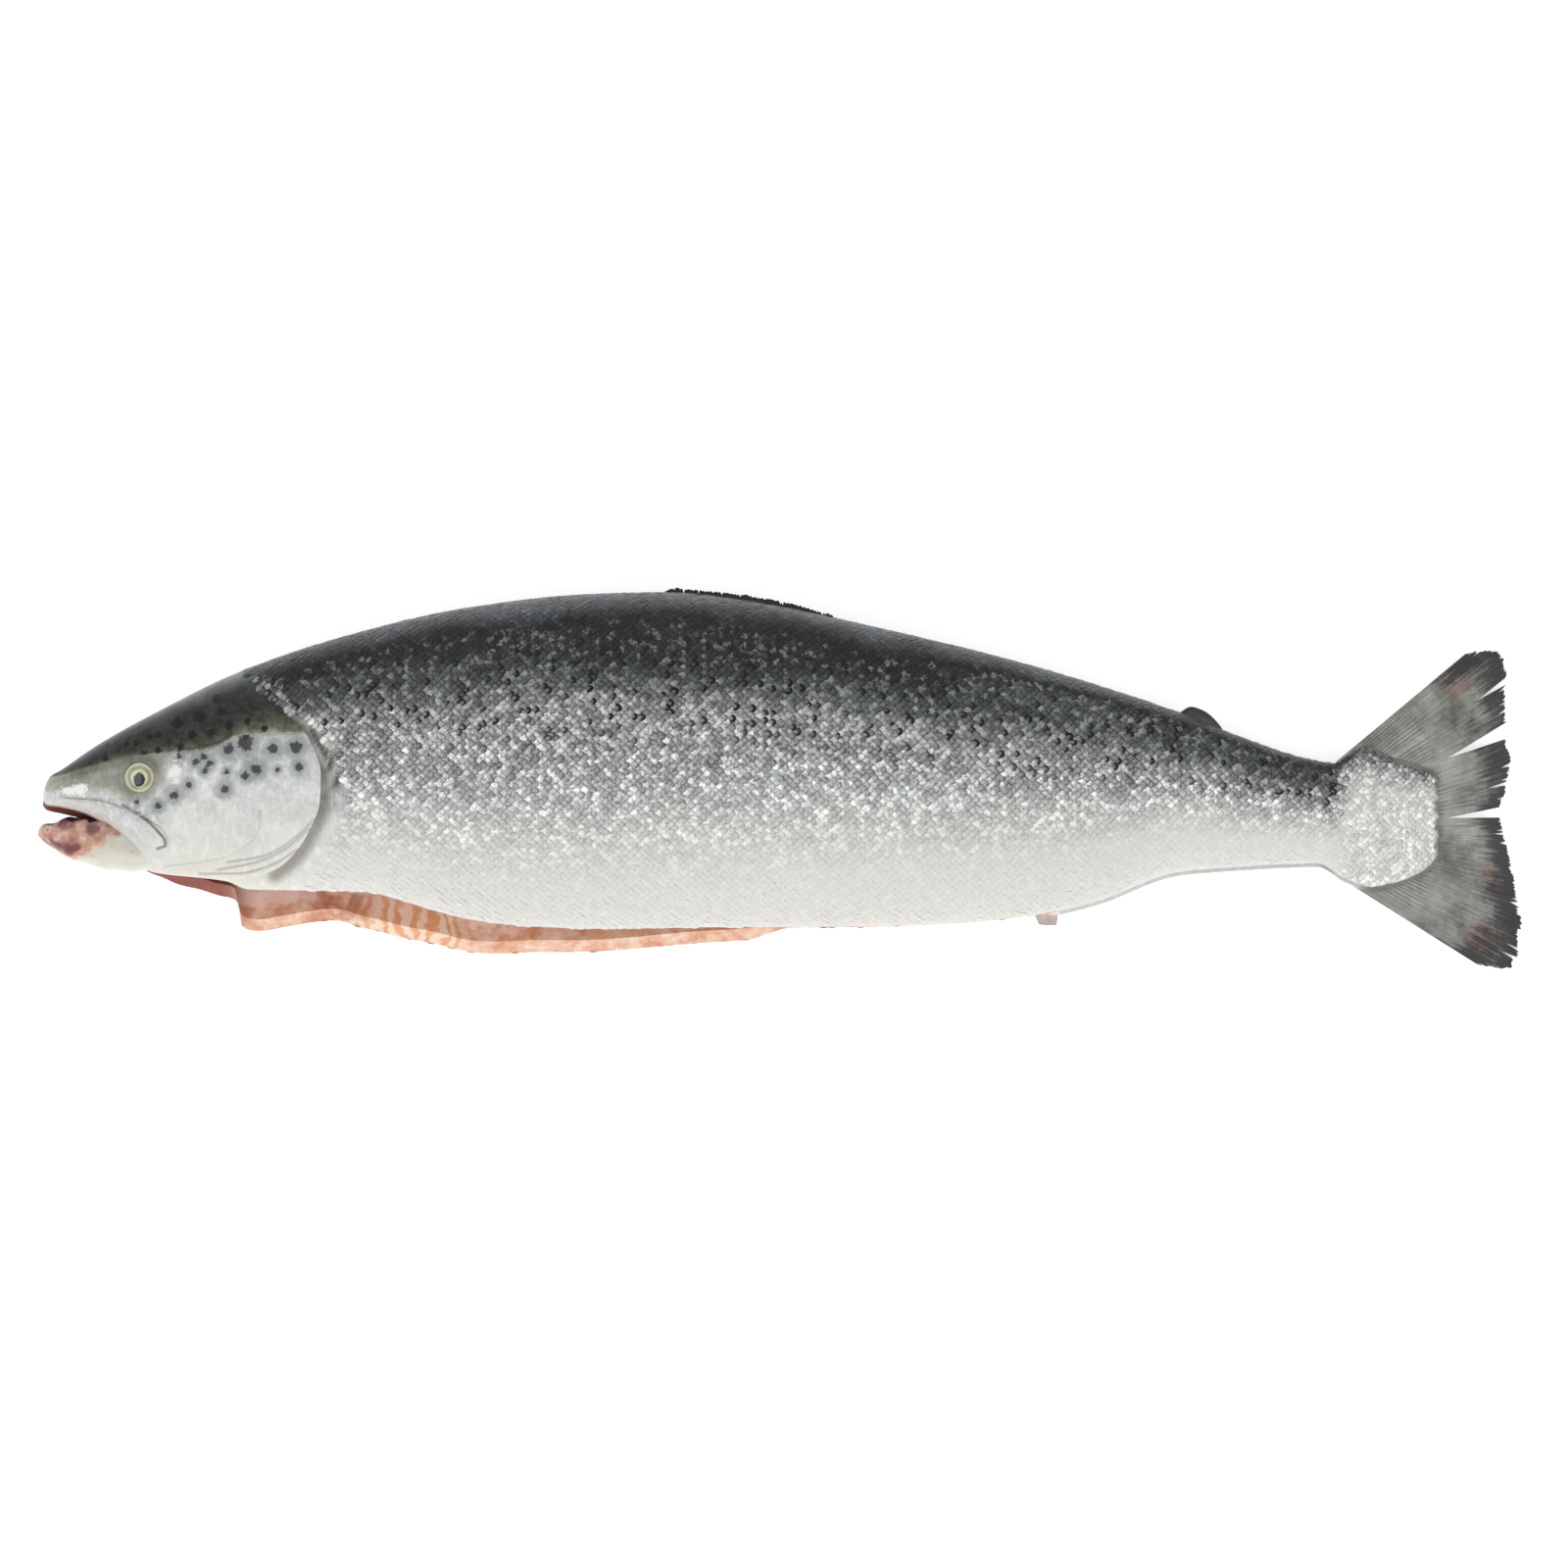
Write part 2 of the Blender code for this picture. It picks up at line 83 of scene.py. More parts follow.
bpy.ops.mesh.primitive_plane_add(size=8)
floor = bpy.context.object
floor.name = "floor"
floor_paint = bpy.data.materials.new("table_white")
floor_paint.use_nodes = True
floor_shader = floor_paint.node_tree.nodes["Principled BSDF"]
floor_shader.inputs["Base Color"].default_value = (0.93, 0.93, 0.93, 1)
floor_shader.inputs["Roughness"].default_value = 0.9
floor_shader.inputs["Emission Color"].default_value = (1, 1, 1, 1)
floor_shader.inputs["Emission Strength"].default_value = 0.52
floor.data.materials.append(floor_paint)

# The head and trunk are one skin over flesh, from the snout to the scaled root of the tail.
# A knife has slit the belly from throat to vent: two flaps stay, and the lower one lies
# further out with its inside showing. "along" runs from the tip of the lower jaw to the
# tail and "up" from belly to back, in millimetres.
MIDDLE = (375.34, 0.55)  # the place, as (along, up), over the origin
BACK_LINE = (
    (2.6, -6), (4.5, -0.5), (7, 3), (12, 6.2), (30, 18.5), (61, 35.6), (101, 55),
    (160, 74.6), (219, 87.9), (279, 94.4), (318, 95.3), (358, 91), (417, 79),
    (496, 59.8), (575, 35.1), (605, 23.2), (640, 11.5), (654, 9.2), (661, 13.6),
    (670, 17.8), (684, 12.5), (697, 8), (704.5, 5), (707, 2.5),
)  # fmt: skip
BELLY_LINE = (
    (2.6, -11), (4.5, -13), (12, -14.8), (22, -17.3), (32, -22.5), (41, -32), (50, -43),
    (56, -46), (61, -47.2), (95, -51.2), (106, -55.3), (165, -56.5), (180, -60), (200, -66),
    (220, -70.8), (245, -73.6), (280, -75.1), (340, -74.4), (417, -74), (457, -72.6),
    (496, -69.2), (516, -65.7), (535, -60.8), (575, -46.4), (595, -44.5), (646, -42),
    (659, -49.4), (672, -54), (684, -52), (694, -48.4), (702, -43.5), (707, -37),
)  # fmt: skip
HALF_THICKNESS = (
    (2.6, 4.5), (4.5, 8.5), (12, 14), (30, 19), (51, 23), (81, 28.5), (110, 33), (140, 36.5),
    (180, 40), (240, 43.5), (300, 44), (360, 42), (420, 38), (480, 32.5), (540, 25),
    (600, 17.5), (646, 12.5), (671, 8), (690, 4.6), (702, 2.9), (707, 2.1),
)  # fmt: skip
AXIS_HEIGHT = (
    (0, 31), (60, 33.5), (120, 36.5), (180, 38.5), (250, 40), (320, 40), (400, 36.5),
    (480, 30.5), (560, 23), (620, 17.2), (660, 13.5), (707, 9), (752, 5),
)  # fmt: skip
ROUNDNESS = ((0, 0.8), (100, 0.85), (300, 0.9), (500, 0.95), (646, 1), (680, 1.2), (707, 0.7))
BACK_BREADTH = ((0, 0.05), (120, 0.08), (300, 0.13), (500, 0.08), (646, 0), (707, 0))
LOWER_FLAP_OVERHANG = (
    (50, 0.2), (61, 1.6), (71, 4.6), (81, 6), (93, 8.1), (99, 8), (102, 19.6), (111, 21.1),
    (125, 18.5), (150, 15.1), (167, 18.9), (180, 19), (200, 17), (219, 16.6), (250, 13.2),
    (289, 11.3), (328, 8.4), (358, 6.6), (370, 3), (380, 0.5), (512, 0.2), (707, 0),
)  # fmt: skip
UPPER_FLAP_SAG = (
    (0, 0), (50, 0), (90, 3), (120, 6), (200, 9), (300, 10), (380, 8), (450, 5), (512, 0),
)  # fmt: skip
LOWER_FLAP_SAG = (
    (0, 0), (50, 0), (90, 9), (105, 14), (130, 16), (200, 20), (300, 20), (360, 16),
    (400, 9.5), (450, 6), (512, 0),
)  # fmt: skip
HOW_OPEN = ((50, 0), (58, 0.5), (72, 1), (485, 1), (500, 0.6), (512, 0))
CAVITY_DEPTH = (
    (50, 0.03), (60, 0.14), (80, 0.32), (100, 0.44), (150, 0.52), (400, 0.5), (450, 0.38),
    (490, 0.2), (512, 0.04),
)  # fmt: skip
CAVITY_SWELL = ((50, 0.4), (80, 5.5), (110, 10.5), (160, 11), (380, 10), (450, 5), (512, 0.4))
FLAP_THICKNESS = 6.5
LOWER_CUT_RUN = 6.5
UPPER_CUT_RUN = 2.5
SHUT_CREASE = 1.8
LAST_ANGLE = math.pi - math.radians(13)
SKIN_SINK = 0.5  # the skin lies this far under the solid's face, to leave room for scales
UNDERSIDE = 1.15  # and its flattened side this far over the table
SIDE_STEPS = 72
HEAD_END = 125
SLIT_ENDS = (52, 512)
TRUNK_END = 707
TAIL_BASE = (652, 664)  # where the pale scaled base of the tail begins
WEB_JOINT = (664, 676)  # where that base begins to give way to the tail's web
CAVITY_STEPS = 16
EYE_CENTRE = (51.7, 1.4)
EYE_RADIUS = 7.7
UPPER_LINE_OF_CHEEK = (
    (2.6, 1), (12, 3), (34, 9.5), (55, 13.5), (79.5, 14), (92, 17), (99.3, 21), (120, 23), (150, 24),
)  # fmt: skip
SLIT_BEHIND_GILLS = ((138.3, 25.7), (146.7, 10.9), (153.6, -5.4))
BLADE_LINE = (
    (43, -12.6), (49.5, -15.6), (55.6, -20.2), (61, -25.6), (64.6, -30.4), (64.8, -32.6), (60.5, -34.4),
)  # fmt: skip
GILL_SHADOW = ((144.5, 4), (144.5, -12), (138.5, -27), (130.5, -39.5), (120, -48))
SPOTS = (
    (82, 32.6, 3.4), (93.4, 34.6, 2.2), (70.6, 29.1, 2.8), (78.1, 23.2, 2.3), (87.9, 24.2, 2.2),
    (96.8, 27.7, 2.3), (106.2, 30.1, 1.8), (115.1, 26.2, 1.5), (56.8, 22.2, 1.8), (61.3, 23.2, 1.8),
    (49.9, 19.3, 1.8), (45, 18.8, 1.4), (53.8, 14.3, 1.4), (60.8, 15.3, 1.5), (66.2, 19.8, 1.2),
    (72.1, 17.3, 1.8), (34.6, 11.4, 1.5), (41, 15.3, 1.1), (71.6, 11.9, 1.3), (105.2, 19.3, 3.8),
    (119.1, 16.3, 2.5), (130.9, 16.8, 2.8), (110.7, 5.4, 2.7), (95.8, 4.4, 1.4), (105.2, 2.5, 2),
    (94.8, -4.4, 2.2), (121.5, 5.4, 1.2), (132.4, 6.9, 2.3), (76.6, -2, 1.6), (69.2, -7.4, 2.2),
    (61.3, -12.8, 1.7), (90.4, 41.5, 2.2), (50.4, -10.9, 1.1), (96.8, 15.8, 2.9),
    (80.2, 9.6, 1.7), (84, 12, 1.8), (87, 8.5, 1.7), (84.5, 4.7, 1.6), (35.2, 18.6, 1.1),
)  # fmt: skip


def smooth(points):
    """A smooth curve through (position, value) points that never swings past them."""
    x, y = np.array(points, float).T
    step, rise = np.diff(x), np.diff(y)
    slope = rise / step
    tangent = np.zeros(len(x))
    tangent[0], tangent[-1] = slope[0], slope[-1]
    same_way = slope[:-1] * slope[1:] > 0
    total = np.where(same_way, slope[:-1] + slope[1:], 1.0)
    tangent[1:-1] = np.where(same_way, 2 * slope[:-1] * slope[1:] / total, 0)

    def value(at):
        at = np.clip(at, x[0], x[-1])
        i = np.clip(np.searchsorted(x, at, side="right") - 1, 0, len(x) - 2)
        u = (at - x[i]) / step[i]
        bend = tangent[i] * u * (1 - u) ** 2 - tangent[i + 1] * u * u * (1 - u)
        return y[i] + rise[i] * u * u * (3 - 2 * u) + step[i] * bend

    return value


def ramp(value, low, high):
    """0 below low, 1 above high, and a soft step between."""
    share = np.clip((value - low) / (high - low), 0, 1)
    return share * share * (3 - 2 * share)


back_line, belly_line = smooth(BACK_LINE), smooth(BELLY_LINE)
half_thickness, axis_height = smooth(HALF_THICKNESS), smooth(AXIS_HEIGHT)
roundness, back_breadth = smooth(ROUNDNESS), smooth(BACK_BREADTH)
overhang, how_open = smooth(LOWER_FLAP_OVERHANG), smooth(HOW_OPEN)
sag = {1: smooth(UPPER_FLAP_SAG), -1: smooth(LOWER_FLAP_SAG)}
cavity_depth, cavity_swell = smooth(CAVITY_DEPTH), smooth(CAVITY_SWELL)
cheek_line = smooth(UPPER_LINE_OF_CHEEK)


def belly_edge(along, side):
    return belly_line(along) - (overhang(along) if side < 0 else 0)


def middle_at(along, up, side):
    """Height of the fish's middle plane, with the sag of that side's belly flap."""
    back = back_line(along)
    share = np.clip((back - up) / (back - belly_edge(along, side)), 0, 1)
    return axis_height(along) - sag[side](along) * share**1.6


def skin_at(along, angle, side):
    """A place on the skin, as (up, height): angle is 0 at the back and pi at the belly."""
    back = back_line(along)
    full = 2 * (back - belly_edge(along, side)) / (1 - math.cos(LAST_ANGLE))
    up = back - full * (1 - np.cos(angle)) / 2
    breadth = 1 + back_breadth(along) * np.cos(angle)
    half = half_thickness(along) * np.sin(angle) ** roundness(along) * breadth
    return up, np.maximum(middle_at(along, up, side) + side * half, 0)


def skin_height(along, up, side):
    """Height of the skin at a place on the fish's side."""
    back = back_line(along)
    full = 2 * (back - belly_edge(along, side)) / (1 - math.cos(LAST_ANGLE))
    share = np.clip((back - up) / full, 0.0005, 0.985)
    return skin_at(along, np.arccos(1 - 2 * share), side)[1]


def cavity_wall(along, side, deepest):
    """One wall of the belly's hollow, from near its deepest line to the cut edge."""
    edge, outer = skin_at(along, LAST_ANGLE, side)
    half_edge = abs(outer - middle_at(along, edge, side))
    flesh = min(FLAP_THICKNESS, 0.75 * half_edge)
    run = UPPER_CUT_RUN if side > 0 else LOWER_CUT_RUN
    inner_edge = edge + run * min(1, half_edge / FLAP_THICKNESS)
    share = np.arange(1, CAVITY_STEPS + 1) / CAVITY_STEPS
    up = deepest + (inner_edge - deepest) * share
    edge_gap = side * (outer - side * flesh - middle_at(along, inner_edge, side))
    gap = edge_gap * share**0.5 + cavity_swell(along) * np.sin(math.pi * share) ** 0.8
    hollow = np.stack([up, middle_at(along, up, side) + side * gap], 1)
    keel = np.stack([edge - SHUT_CREASE * (1 - share**2),
                     middle_at(along, edge, side) + side * half_edge * 0.86 * share], 1)  # fmt: skip
    return keel + (hollow - keel) * how_open(along)


def world_place(along, up, height):
    """Places of the fish's own measures in the model, in metres."""
    parts = np.broadcast_arrays(along - MIDDLE[0], up - MIDDLE[1], height)
    return np.stack(parts, -1) * MM


def near_eye(along, up):
    return np.hypot(along - EYE_CENTRE[0], up - EYE_CENTRE[1])


def trace(points):
    """A smooth path through (along, up) points, by its share from 0 to 1."""
    spots = np.array(points, float)
    lengths = np.concatenate([[0], np.cumsum(np.linalg.norm(np.diff(spots, axis=0), axis=1))])
    share = lengths / lengths[-1]
    along, up = (smooth(np.stack([share, spots[:, k]], 1)) for k in (0, 1))
    return lambda at: (along(at), up(at))


def line_field(lines, along, up, reach):
    """1 on any of the lines, falling to 0 at reach from it."""
    nearest = np.full(np.shape(along), 99.0)
    for line in lines:
        xs, ys = trace(line)(np.linspace(0, 1, 60))
        for x, y in zip(xs, ys):
            nearest = np.minimum(nearest, np.hypot(along - x, up - y))
    return ramp(-nearest, -reach, -0.1 * reach)


def head_relief(along, up):
    """How far the bare skin of the head stands out, in millimetres."""
    distance = near_eye(along, up)
    socket = 0.8 * np.exp(-(((distance - EYE_RADIUS - 2.2) / 1.5) ** 2))
    hollow = -1.6 * ramp(-distance, -EYE_RADIUS - 0.9, -EYE_RADIUS + 0.8)
    brow = 0.5 * np.exp(-(((up - cheek_line(along) + 1) / 2.2) ** 2)) * ramp(along, 45, 60)
    return (socket + hollow - brow * 0.6) * ramp(-along, -118, -100)


def skin_shade(along, up, belly, gill_cover=False):
    """0 at the dark back, 1 at the white belly. The cheek is pale right up to its line."""
    back, line = back_line(along), cheek_line(along)
    plain = (back - up) / (back - belly)
    saddle = 0.05 * np.exp(-(((along - 325) / 80) ** 2)) * ramp(plain, 0.1, 0.17) * ramp(-plain, -0.33, -0.22)
    silver = ramp(along, *TAIL_BASE) * (0.17 + 0.25 * ramp(plain, 0.06, 0.2))
    aft = 0.08 * ramp(along, 430, 500) * ramp(plain, 0.04, 0.08) * ramp(-plain, -0.2, -0.13)
    tilt = 0.1 * (ramp(along, 250, 560) - 0.5) * ramp(plain, 0.42, 0.55)
    plain = plain - saddle + silver + aft + tilt
    above = 0.31 * (back - up) / np.maximum(back - line, 1)
    start = 0.33 + 0.13 * ramp(along, 44, 78)
    slow = 2.2 - 1.2 * ramp(along, 40, 80)
    below = start + (0.98 - start) * np.clip((line - up) / (line - belly), 0, 1) ** slow
    head = above + (below - above) * ramp(line - up, -1.2, 1.2)
    blend = 0 if gill_cover else ramp(along, 96, 124)
    return np.clip(head + (plain - head) * blend, 0, 1)


def socket_shadow(along, up):
    """The painted shadow round the eye socket, deeper towards the brow and the cheek."""
    turn = np.arctan2(up - EYE_CENTRE[1], along - EYE_CENTRE[0])
    rim = np.exp(-(((near_eye(along, up) - EYE_RADIUS - 2) / 2.3) ** 2))
    return rim * (0.25 + 0.4 * np.cos(turn - math.radians(35)) ** 2 * (np.cos(turn - 0.6) > 0))


def spot_field(along, up):
    """1 in the middle of a dark spot, 0 at its rim and below that further out."""
    field = np.full(np.shape(along), -3.0)
    for x, y, radius in SPOTS:
        field = np.maximum(field, 1 - np.hypot(along - x, up - y) / radius)
    return field


def painted_glint_field(along, up):
    """The two painted highlights: white patches on the snout and behind the eye."""
    snout = 1 - np.hypot((along - 20) / 10, (up + 5.2) / 3.4)
    cheek = 1 - np.hypot((along - 69.5) / 4, (up - 4) / 8)
    return np.maximum(snout, cheek)


def dress(name, mesh):
    """A piece of the fish's dress: it rides with the solid and takes its place."""
    piece = bpy.data.objects.new(name, mesh)
    bpy.context.scene.collection.objects.link(piece)
    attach(piece, "root")
    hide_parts("salmon_body")


def mesh_piece(name, vertices, faces, fields, materials, slots=None, sharp=None):
    """A finished mesh that rides with the fish, with its named fields for the material."""
    mesh = bpy.data.meshes.new(name)
    mesh.from_pydata([tuple(v) for v in vertices], [], faces)
    for key, values in fields.items():
        layer = mesh.attributes.new(key, "FLOAT", "POINT")
        layer.data.foreach_set("value", np.asarray(values, np.float32).ravel())
    for material in materials:
        mesh.materials.append(material)
    if slots is not None:
        mesh.polygons.foreach_set("material_index", np.asarray(slots, np.int32))
    shape = bmesh.new()
    shape.from_mesh(mesh)
    bmesh.ops.recalc_face_normals(shape, faces=shape.faces)
    shape.to_mesh(mesh)
    shape.free()
    mesh.shade_smooth()
    if sharp:
        mesh.set_sharp_from_angle(angle=math.radians(sharp))
    dress(name, mesh)


def tube_faces(rows, count):
    """Faces of rings that are joined in turn and shut at both ends by a fan."""
    faces = [
        (r * count + i, r * count + (i + 1) % count, (r + 1) * count + (i + 1) % count, (r + 1) * count + i)
        for r in range(rows - 1)
        for i in range(count)
    ]
    for first, middle in ((0, rows * count), ((rows - 1) * count, rows * count + 1)):
        faces += [(middle, first + i, first + (i + 1) % count) for i in range(count)]
    return faces


def node(tree, kind, settings=None, inputs=None):
    """A node with its settings, and with what its sockets hold or are fed by."""
    made = tree.nodes.new(kind)
    for key, value in (settings or {}).items():
        setattr(made, key, value)
    for key, value in (inputs or {}).items():
        if isinstance(value, bpy.types.NodeSocket):
            tree.links.new(value, made.inputs[key])
        else:
            made.inputs[key].default_value = value
    return made


def srgb(red, green, blue):
    """A colour as it is seen on a screen, 0 to 255, for a shader."""
    shares = (red / 255, green / 255, blue / 255)
    return tuple(c / 12.92 if c < 0.0404 else ((c + 0.055) / 1.055) ** 2.4 for c in shares) + (1,)


def attribute(tree, name):
    return node(tree, "ShaderNodeAttribute", {"attribute_name": name}).outputs["Fac"]


def calc(tree, operation, *values, clamp=False):
    settings = {"operation": operation, "use_clamp": clamp}
    return node(tree, "ShaderNodeMath", settings, dict(enumerate(values))).outputs[0]


def noise(tree, scale, detail=3, roughness=0.55, distortion=0.0):
    where = node(tree, "ShaderNodeTexCoord").outputs["Object"]
    return node(tree, "ShaderNodeTexNoise", None, {
        "Vector": where, "Scale": scale, "Detail": detail, "Roughness": roughness, "Distortion": distortion,
    }).outputs["Fac"]  # fmt: skip


def step(tree, value, low, high):
    values = {"Value": value, "From Min": low, "From Max": high}
    return node(tree, "ShaderNodeMapRange", {"interpolation_type": "SMOOTHSTEP"}, values).outputs[0]


def colour_ramp(tree, value, stops):
    made = node(tree, "ShaderNodeValToRGB", None, {"Fac": value})
    elements = made.color_ramp.elements
    while len(elements) < len(stops):
        elements.new(0.5)
    for element, (position, colour) in zip(elements, stops):
        element.position = position
    for element, (position, colour) in zip(elements, stops):
        element.color = srgb(*colour)
    return made.outputs["Color"]


def mix(tree, factor, first, second, how="MIX"):
    settings = {"data_type": "RGBA", "blend_type": how}
    first = srgb(*first) if isinstance(first, tuple) else first
    second = srgb(*second) if isinstance(second, tuple) else second
    made = node(tree, "ShaderNodeMix", settings, {"Factor": factor, 6: first, 7: second})
    return made.outputs[2]


def start_material(name, roughness, coat, bump_scale=0, bump=0.0):
    """A material with its own gloss, a wet film and a fine bump."""
    material = bpy.data.materials.new(name)
    material.use_nodes = True
    tree = material.node_tree
    shader = tree.nodes["Principled BSDF"]
    shader.inputs["Roughness"].default_value = roughness
    shader.inputs["Coat Weight"].default_value = coat
    shader.inputs["Coat Roughness"].default_value = 0.12
    if bump:
        height = noise(tree, bump_scale, 4)
        values = {"Strength": bump, "Distance": 0.001, "Height": height}
        tree.links.new(node(tree, "ShaderNodeBump", None, values).outputs[0], shader.inputs["Normal"])
    return material, tree, shader


# The first stops of both ramps, at the back's and the head's outline, are lighter than the dark band just
# below them: a painted sheen where the wet skin turns away.
SKIN_STOPS = (
    (0.0, (86, 89, 92)), (0.03, (68, 71, 74)), (0.06, (38, 41, 44)), (0.085, (22, 23, 24)),
    (0.14, (44, 46, 47)), (0.2, (76, 79, 80)), (0.27, (108, 111, 109)), (0.34, (146, 148, 145)),
    (0.45, (166, 168, 165)), (0.58, (191, 193, 190)), (0.7, (209, 209, 204)), (0.82, (218, 217, 211)),
    (1.0, (221, 219, 213)),
)  # fmt: skip
HEAD_STOPS = (
    (0.0, (116, 119, 122)), (0.035, (86, 89, 91)), (0.065, (56, 59, 61)), (0.12, (44, 46, 46)),
    (0.19, (44, 45, 40)), (0.25, (58, 59, 47)), (0.3, (86, 88, 74)), (0.335, (152, 153, 142)),
    (0.4, (162, 162, 151)), (0.47, (192, 194, 191)), (0.6, (207, 209, 206)), (0.78, (219, 219, 213)),
    (1.0, (222, 219, 208)),
)  # fmt: skip


def brightened(tree, colour, factor):
    """A colour times a plain number that differs from place to place."""
    grey = node(tree, "ShaderNodeCombineColor", None, {0: factor, 1: factor, 2: factor}).outputs[0]
    return mix(tree, 1.0, colour, grey, "MULTIPLY")


def skin_material(name, stops, scaled):
    """Wet skin. A scaled one has a tone of its own on each scale, and painted shadow darkening its free edge.
    """
    material, tree, shader = start_material(name, 0.42, 0.12, 1100, 0.2)
    shader.inputs["Specular IOR Level"].default_value = 0.22
    shade = attribute(tree, "shade")
    broad = calc(tree, "MULTIPLY_ADD", noise(tree, 30, 4), 0.16, -0.08)
    drift = calc(tree, "ADD", shade, broad, clamp=True)
    colour = colour_ramp(tree, drift, stops)
    if scaled:
        tone, rim = attribute(tree, "tone"), attribute(tree, "rim")
        ridge = calc(tree, "MULTIPLY_ADD", step(tree, shade, 0.02, 0.09), 0.6, 0.4)
        zone = calc(tree, "MULTIPLY", step(tree, shade, 0.86, 0.42), ridge)
        zone = calc(tree, "MAXIMUM", zone, calc(tree, "MULTIPLY", attribute(tree, "bare"), 0.36))
        bright = calc(tree, "POWER", tone, 2.6)
        reach = calc(tree, "MULTIPLY_ADD", zone, 1.25, 0.05)
        swing = calc(tree, "MULTIPLY_ADD", calc(tree, "SUBTRACT", bright, 0.22), reach, 1.0)
        # Painted shadow: each scale is darker towards its free edge, most on the grey middle of the side.
        edge = calc(tree, "POWER", rim, 3.0)
        shadow = calc(tree, "MULTIPLY", edge, calc(tree, "MULTIPLY_ADD", zone, 0.9, 0.05))
        light = calc(tree, "SUBTRACT", calc(tree, "MULTIPLY_ADD", zone, 0.18, 1.02), shadow)
        light = calc(tree, "MULTIPLY", swing, light)
        grain = calc(tree, "SUBTRACT", noise(tree, 700, 3, 0.75), 0.5)
        coarse = calc(tree, "SUBTRACT", noise(tree, 210, 3, 0.6), 0.5)
        grain = calc(tree, "MULTIPLY_ADD", grain, 3.0, calc(tree, "MULTIPLY", coarse, 1.3))
        grain = calc(tree, "MULTIPLY", grain, calc(tree, "MULTIPLY_ADD", zone, 0.95, 0.1))
        grain = calc(tree, "MAXIMUM", calc(tree, "ADD", grain, 1.0), 0.15)
        colour = brightened(tree, colour, calc(tree, "MULTIPLY", light, grain))
        back = calc(tree, "MULTIPLY", step(tree, shade, 0.52, 0.35), step(tree, shade, 0.07, 0.11))
        flecks = calc(tree, "MULTIPLY", step(tree, tone, 0.16, 0.08), back)
        flecks = calc(tree, "MULTIPLY", flecks, step(tree, rim, 0.1, 0.7))
        colour = mix(tree, flecks, colour, (12, 13, 14))
        # Painted sparkle: some of the brightest scales on the dark back turn pale grey.
        painted_sparkle = calc(tree, "MULTIPLY", step(tree, tone, 0.6, 0.95), back)
        painted_sparkle = calc(tree, "MULTIPLY", painted_sparkle, step(tree, noise(tree, 520, 2), 0.44, 0.58))
        colour = mix(tree, calc(tree, "MULTIPLY", painted_sparkle, 0.3), colour, (190, 192, 188))
    else:
        patches = step(tree, noise(tree, 90, 7, 0.68, 1.0), 0.38, 0.62)
        speckle = step(tree, noise(tree, 430, 4, 0.7), 0.36, 0.64)
        mottle = calc(tree, "MULTIPLY_ADD", speckle, 0.7, patches)
        mottle = calc(tree, "MULTIPLY_ADD", mottle, 1.2, -1.02)
        depth = calc(tree, "MULTIPLY_ADD", step(tree, shade, 0.9, 0.45), 0.2, 0.05)
        depth = calc(tree, "MULTIPLY_ADD", step(tree, shade, 0.335, 0.3), 0.42, depth)
        crown = calc(tree, "MULTIPLY_ADD", step(tree, shade, 0.04, 0.12), 0.75, 0.25)
        depth = calc(tree, "MULTIPLY", depth, crown)
        mottle = calc(tree, "MULTIPLY_ADD", mottle, depth, 1.0)
        colour = brightened(tree, colour, calc(tree, "MAXIMUM", mottle, 0.25))
        stretched = node(tree, "ShaderNodeVectorMath", {"operation": "MULTIPLY"}, {
            0: node(tree, "ShaderNodeTexCoord").outputs["Object"], 1: (1.0, 0.3, 0.6),
        }).outputs[0]  # fmt: skip
        streaks = node(tree, "ShaderNodeTexNoise", None, {"Vector": stretched, "Scale": 330.0, "Detail": 5.0})
        streaks = step(tree, streaks.outputs["Fac"], 0.52, 0.68)
        streaks = calc(tree, "MULTIPLY", streaks, step(tree, shade, 0.38, 0.48))
        colour = mix(tree, calc(tree, "MULTIPLY", streaks, 0.5), colour, (238, 240, 238))
        edge = calc(tree, "MULTIPLY_ADD", noise(tree, 420, 4, 0.75), 2.2, -1.1)
        smudge = step(tree, calc(tree, "ADD", attribute(tree, "spot"), edge), -2.4, -0.3)
        smudge = calc(tree, "MULTIPLY", smudge, step(tree, shade, 0.35, 0.45))
        colour = mix(tree, calc(tree, "MULTIPLY", smudge, 0.6), colour, (120, 124, 128))
        spot = step(tree, calc(tree, "ADD", attribute(tree, "spot"), edge), -0.28, 0.2)
        patch_edge = calc(tree, "MULTIPLY_ADD", noise(tree, 220, 6, 0.8), 3.4, -1.7)
        # Painted highlights: white patches on the snout and behind the eye, with ragged edges.
        painted_glint = step(tree, calc(tree, "ADD", attribute(tree, "painted_glint"), patch_edge), 0.1, 0.5)
        colour = mix(tree, painted_glint, colour, (240, 240, 238))
        ink = calc(tree, "MULTIPLY_ADD", step(tree, shade, 0.35, 0.45), -0.14, 0.97)
        colour = mix(tree, calc(tree, "MULTIPLY", spot, ink), colour, (14, 15, 17))
        # Painted shade in creases, the gill slit, behind the gill cover and round the eye, and the dark line
        # round the jaw's blade.
        colour = mix(tree, attribute(tree, "painted_shade_and_lines"), colour, (82, 69, 60))
        colour = mix(tree, attribute(tree, "lip"), colour, (112, 60, 54))
    web = colour_ramp(tree, noise(tree, 60, 5, 0.7), ((0.3, (100, 102, 95)), (0.7, (136, 138, 128))))
    colour = mix(tree, attribute(tree, "web"), colour, web)
    tree.links.new(colour, shader.inputs["Base Color"])
    return material


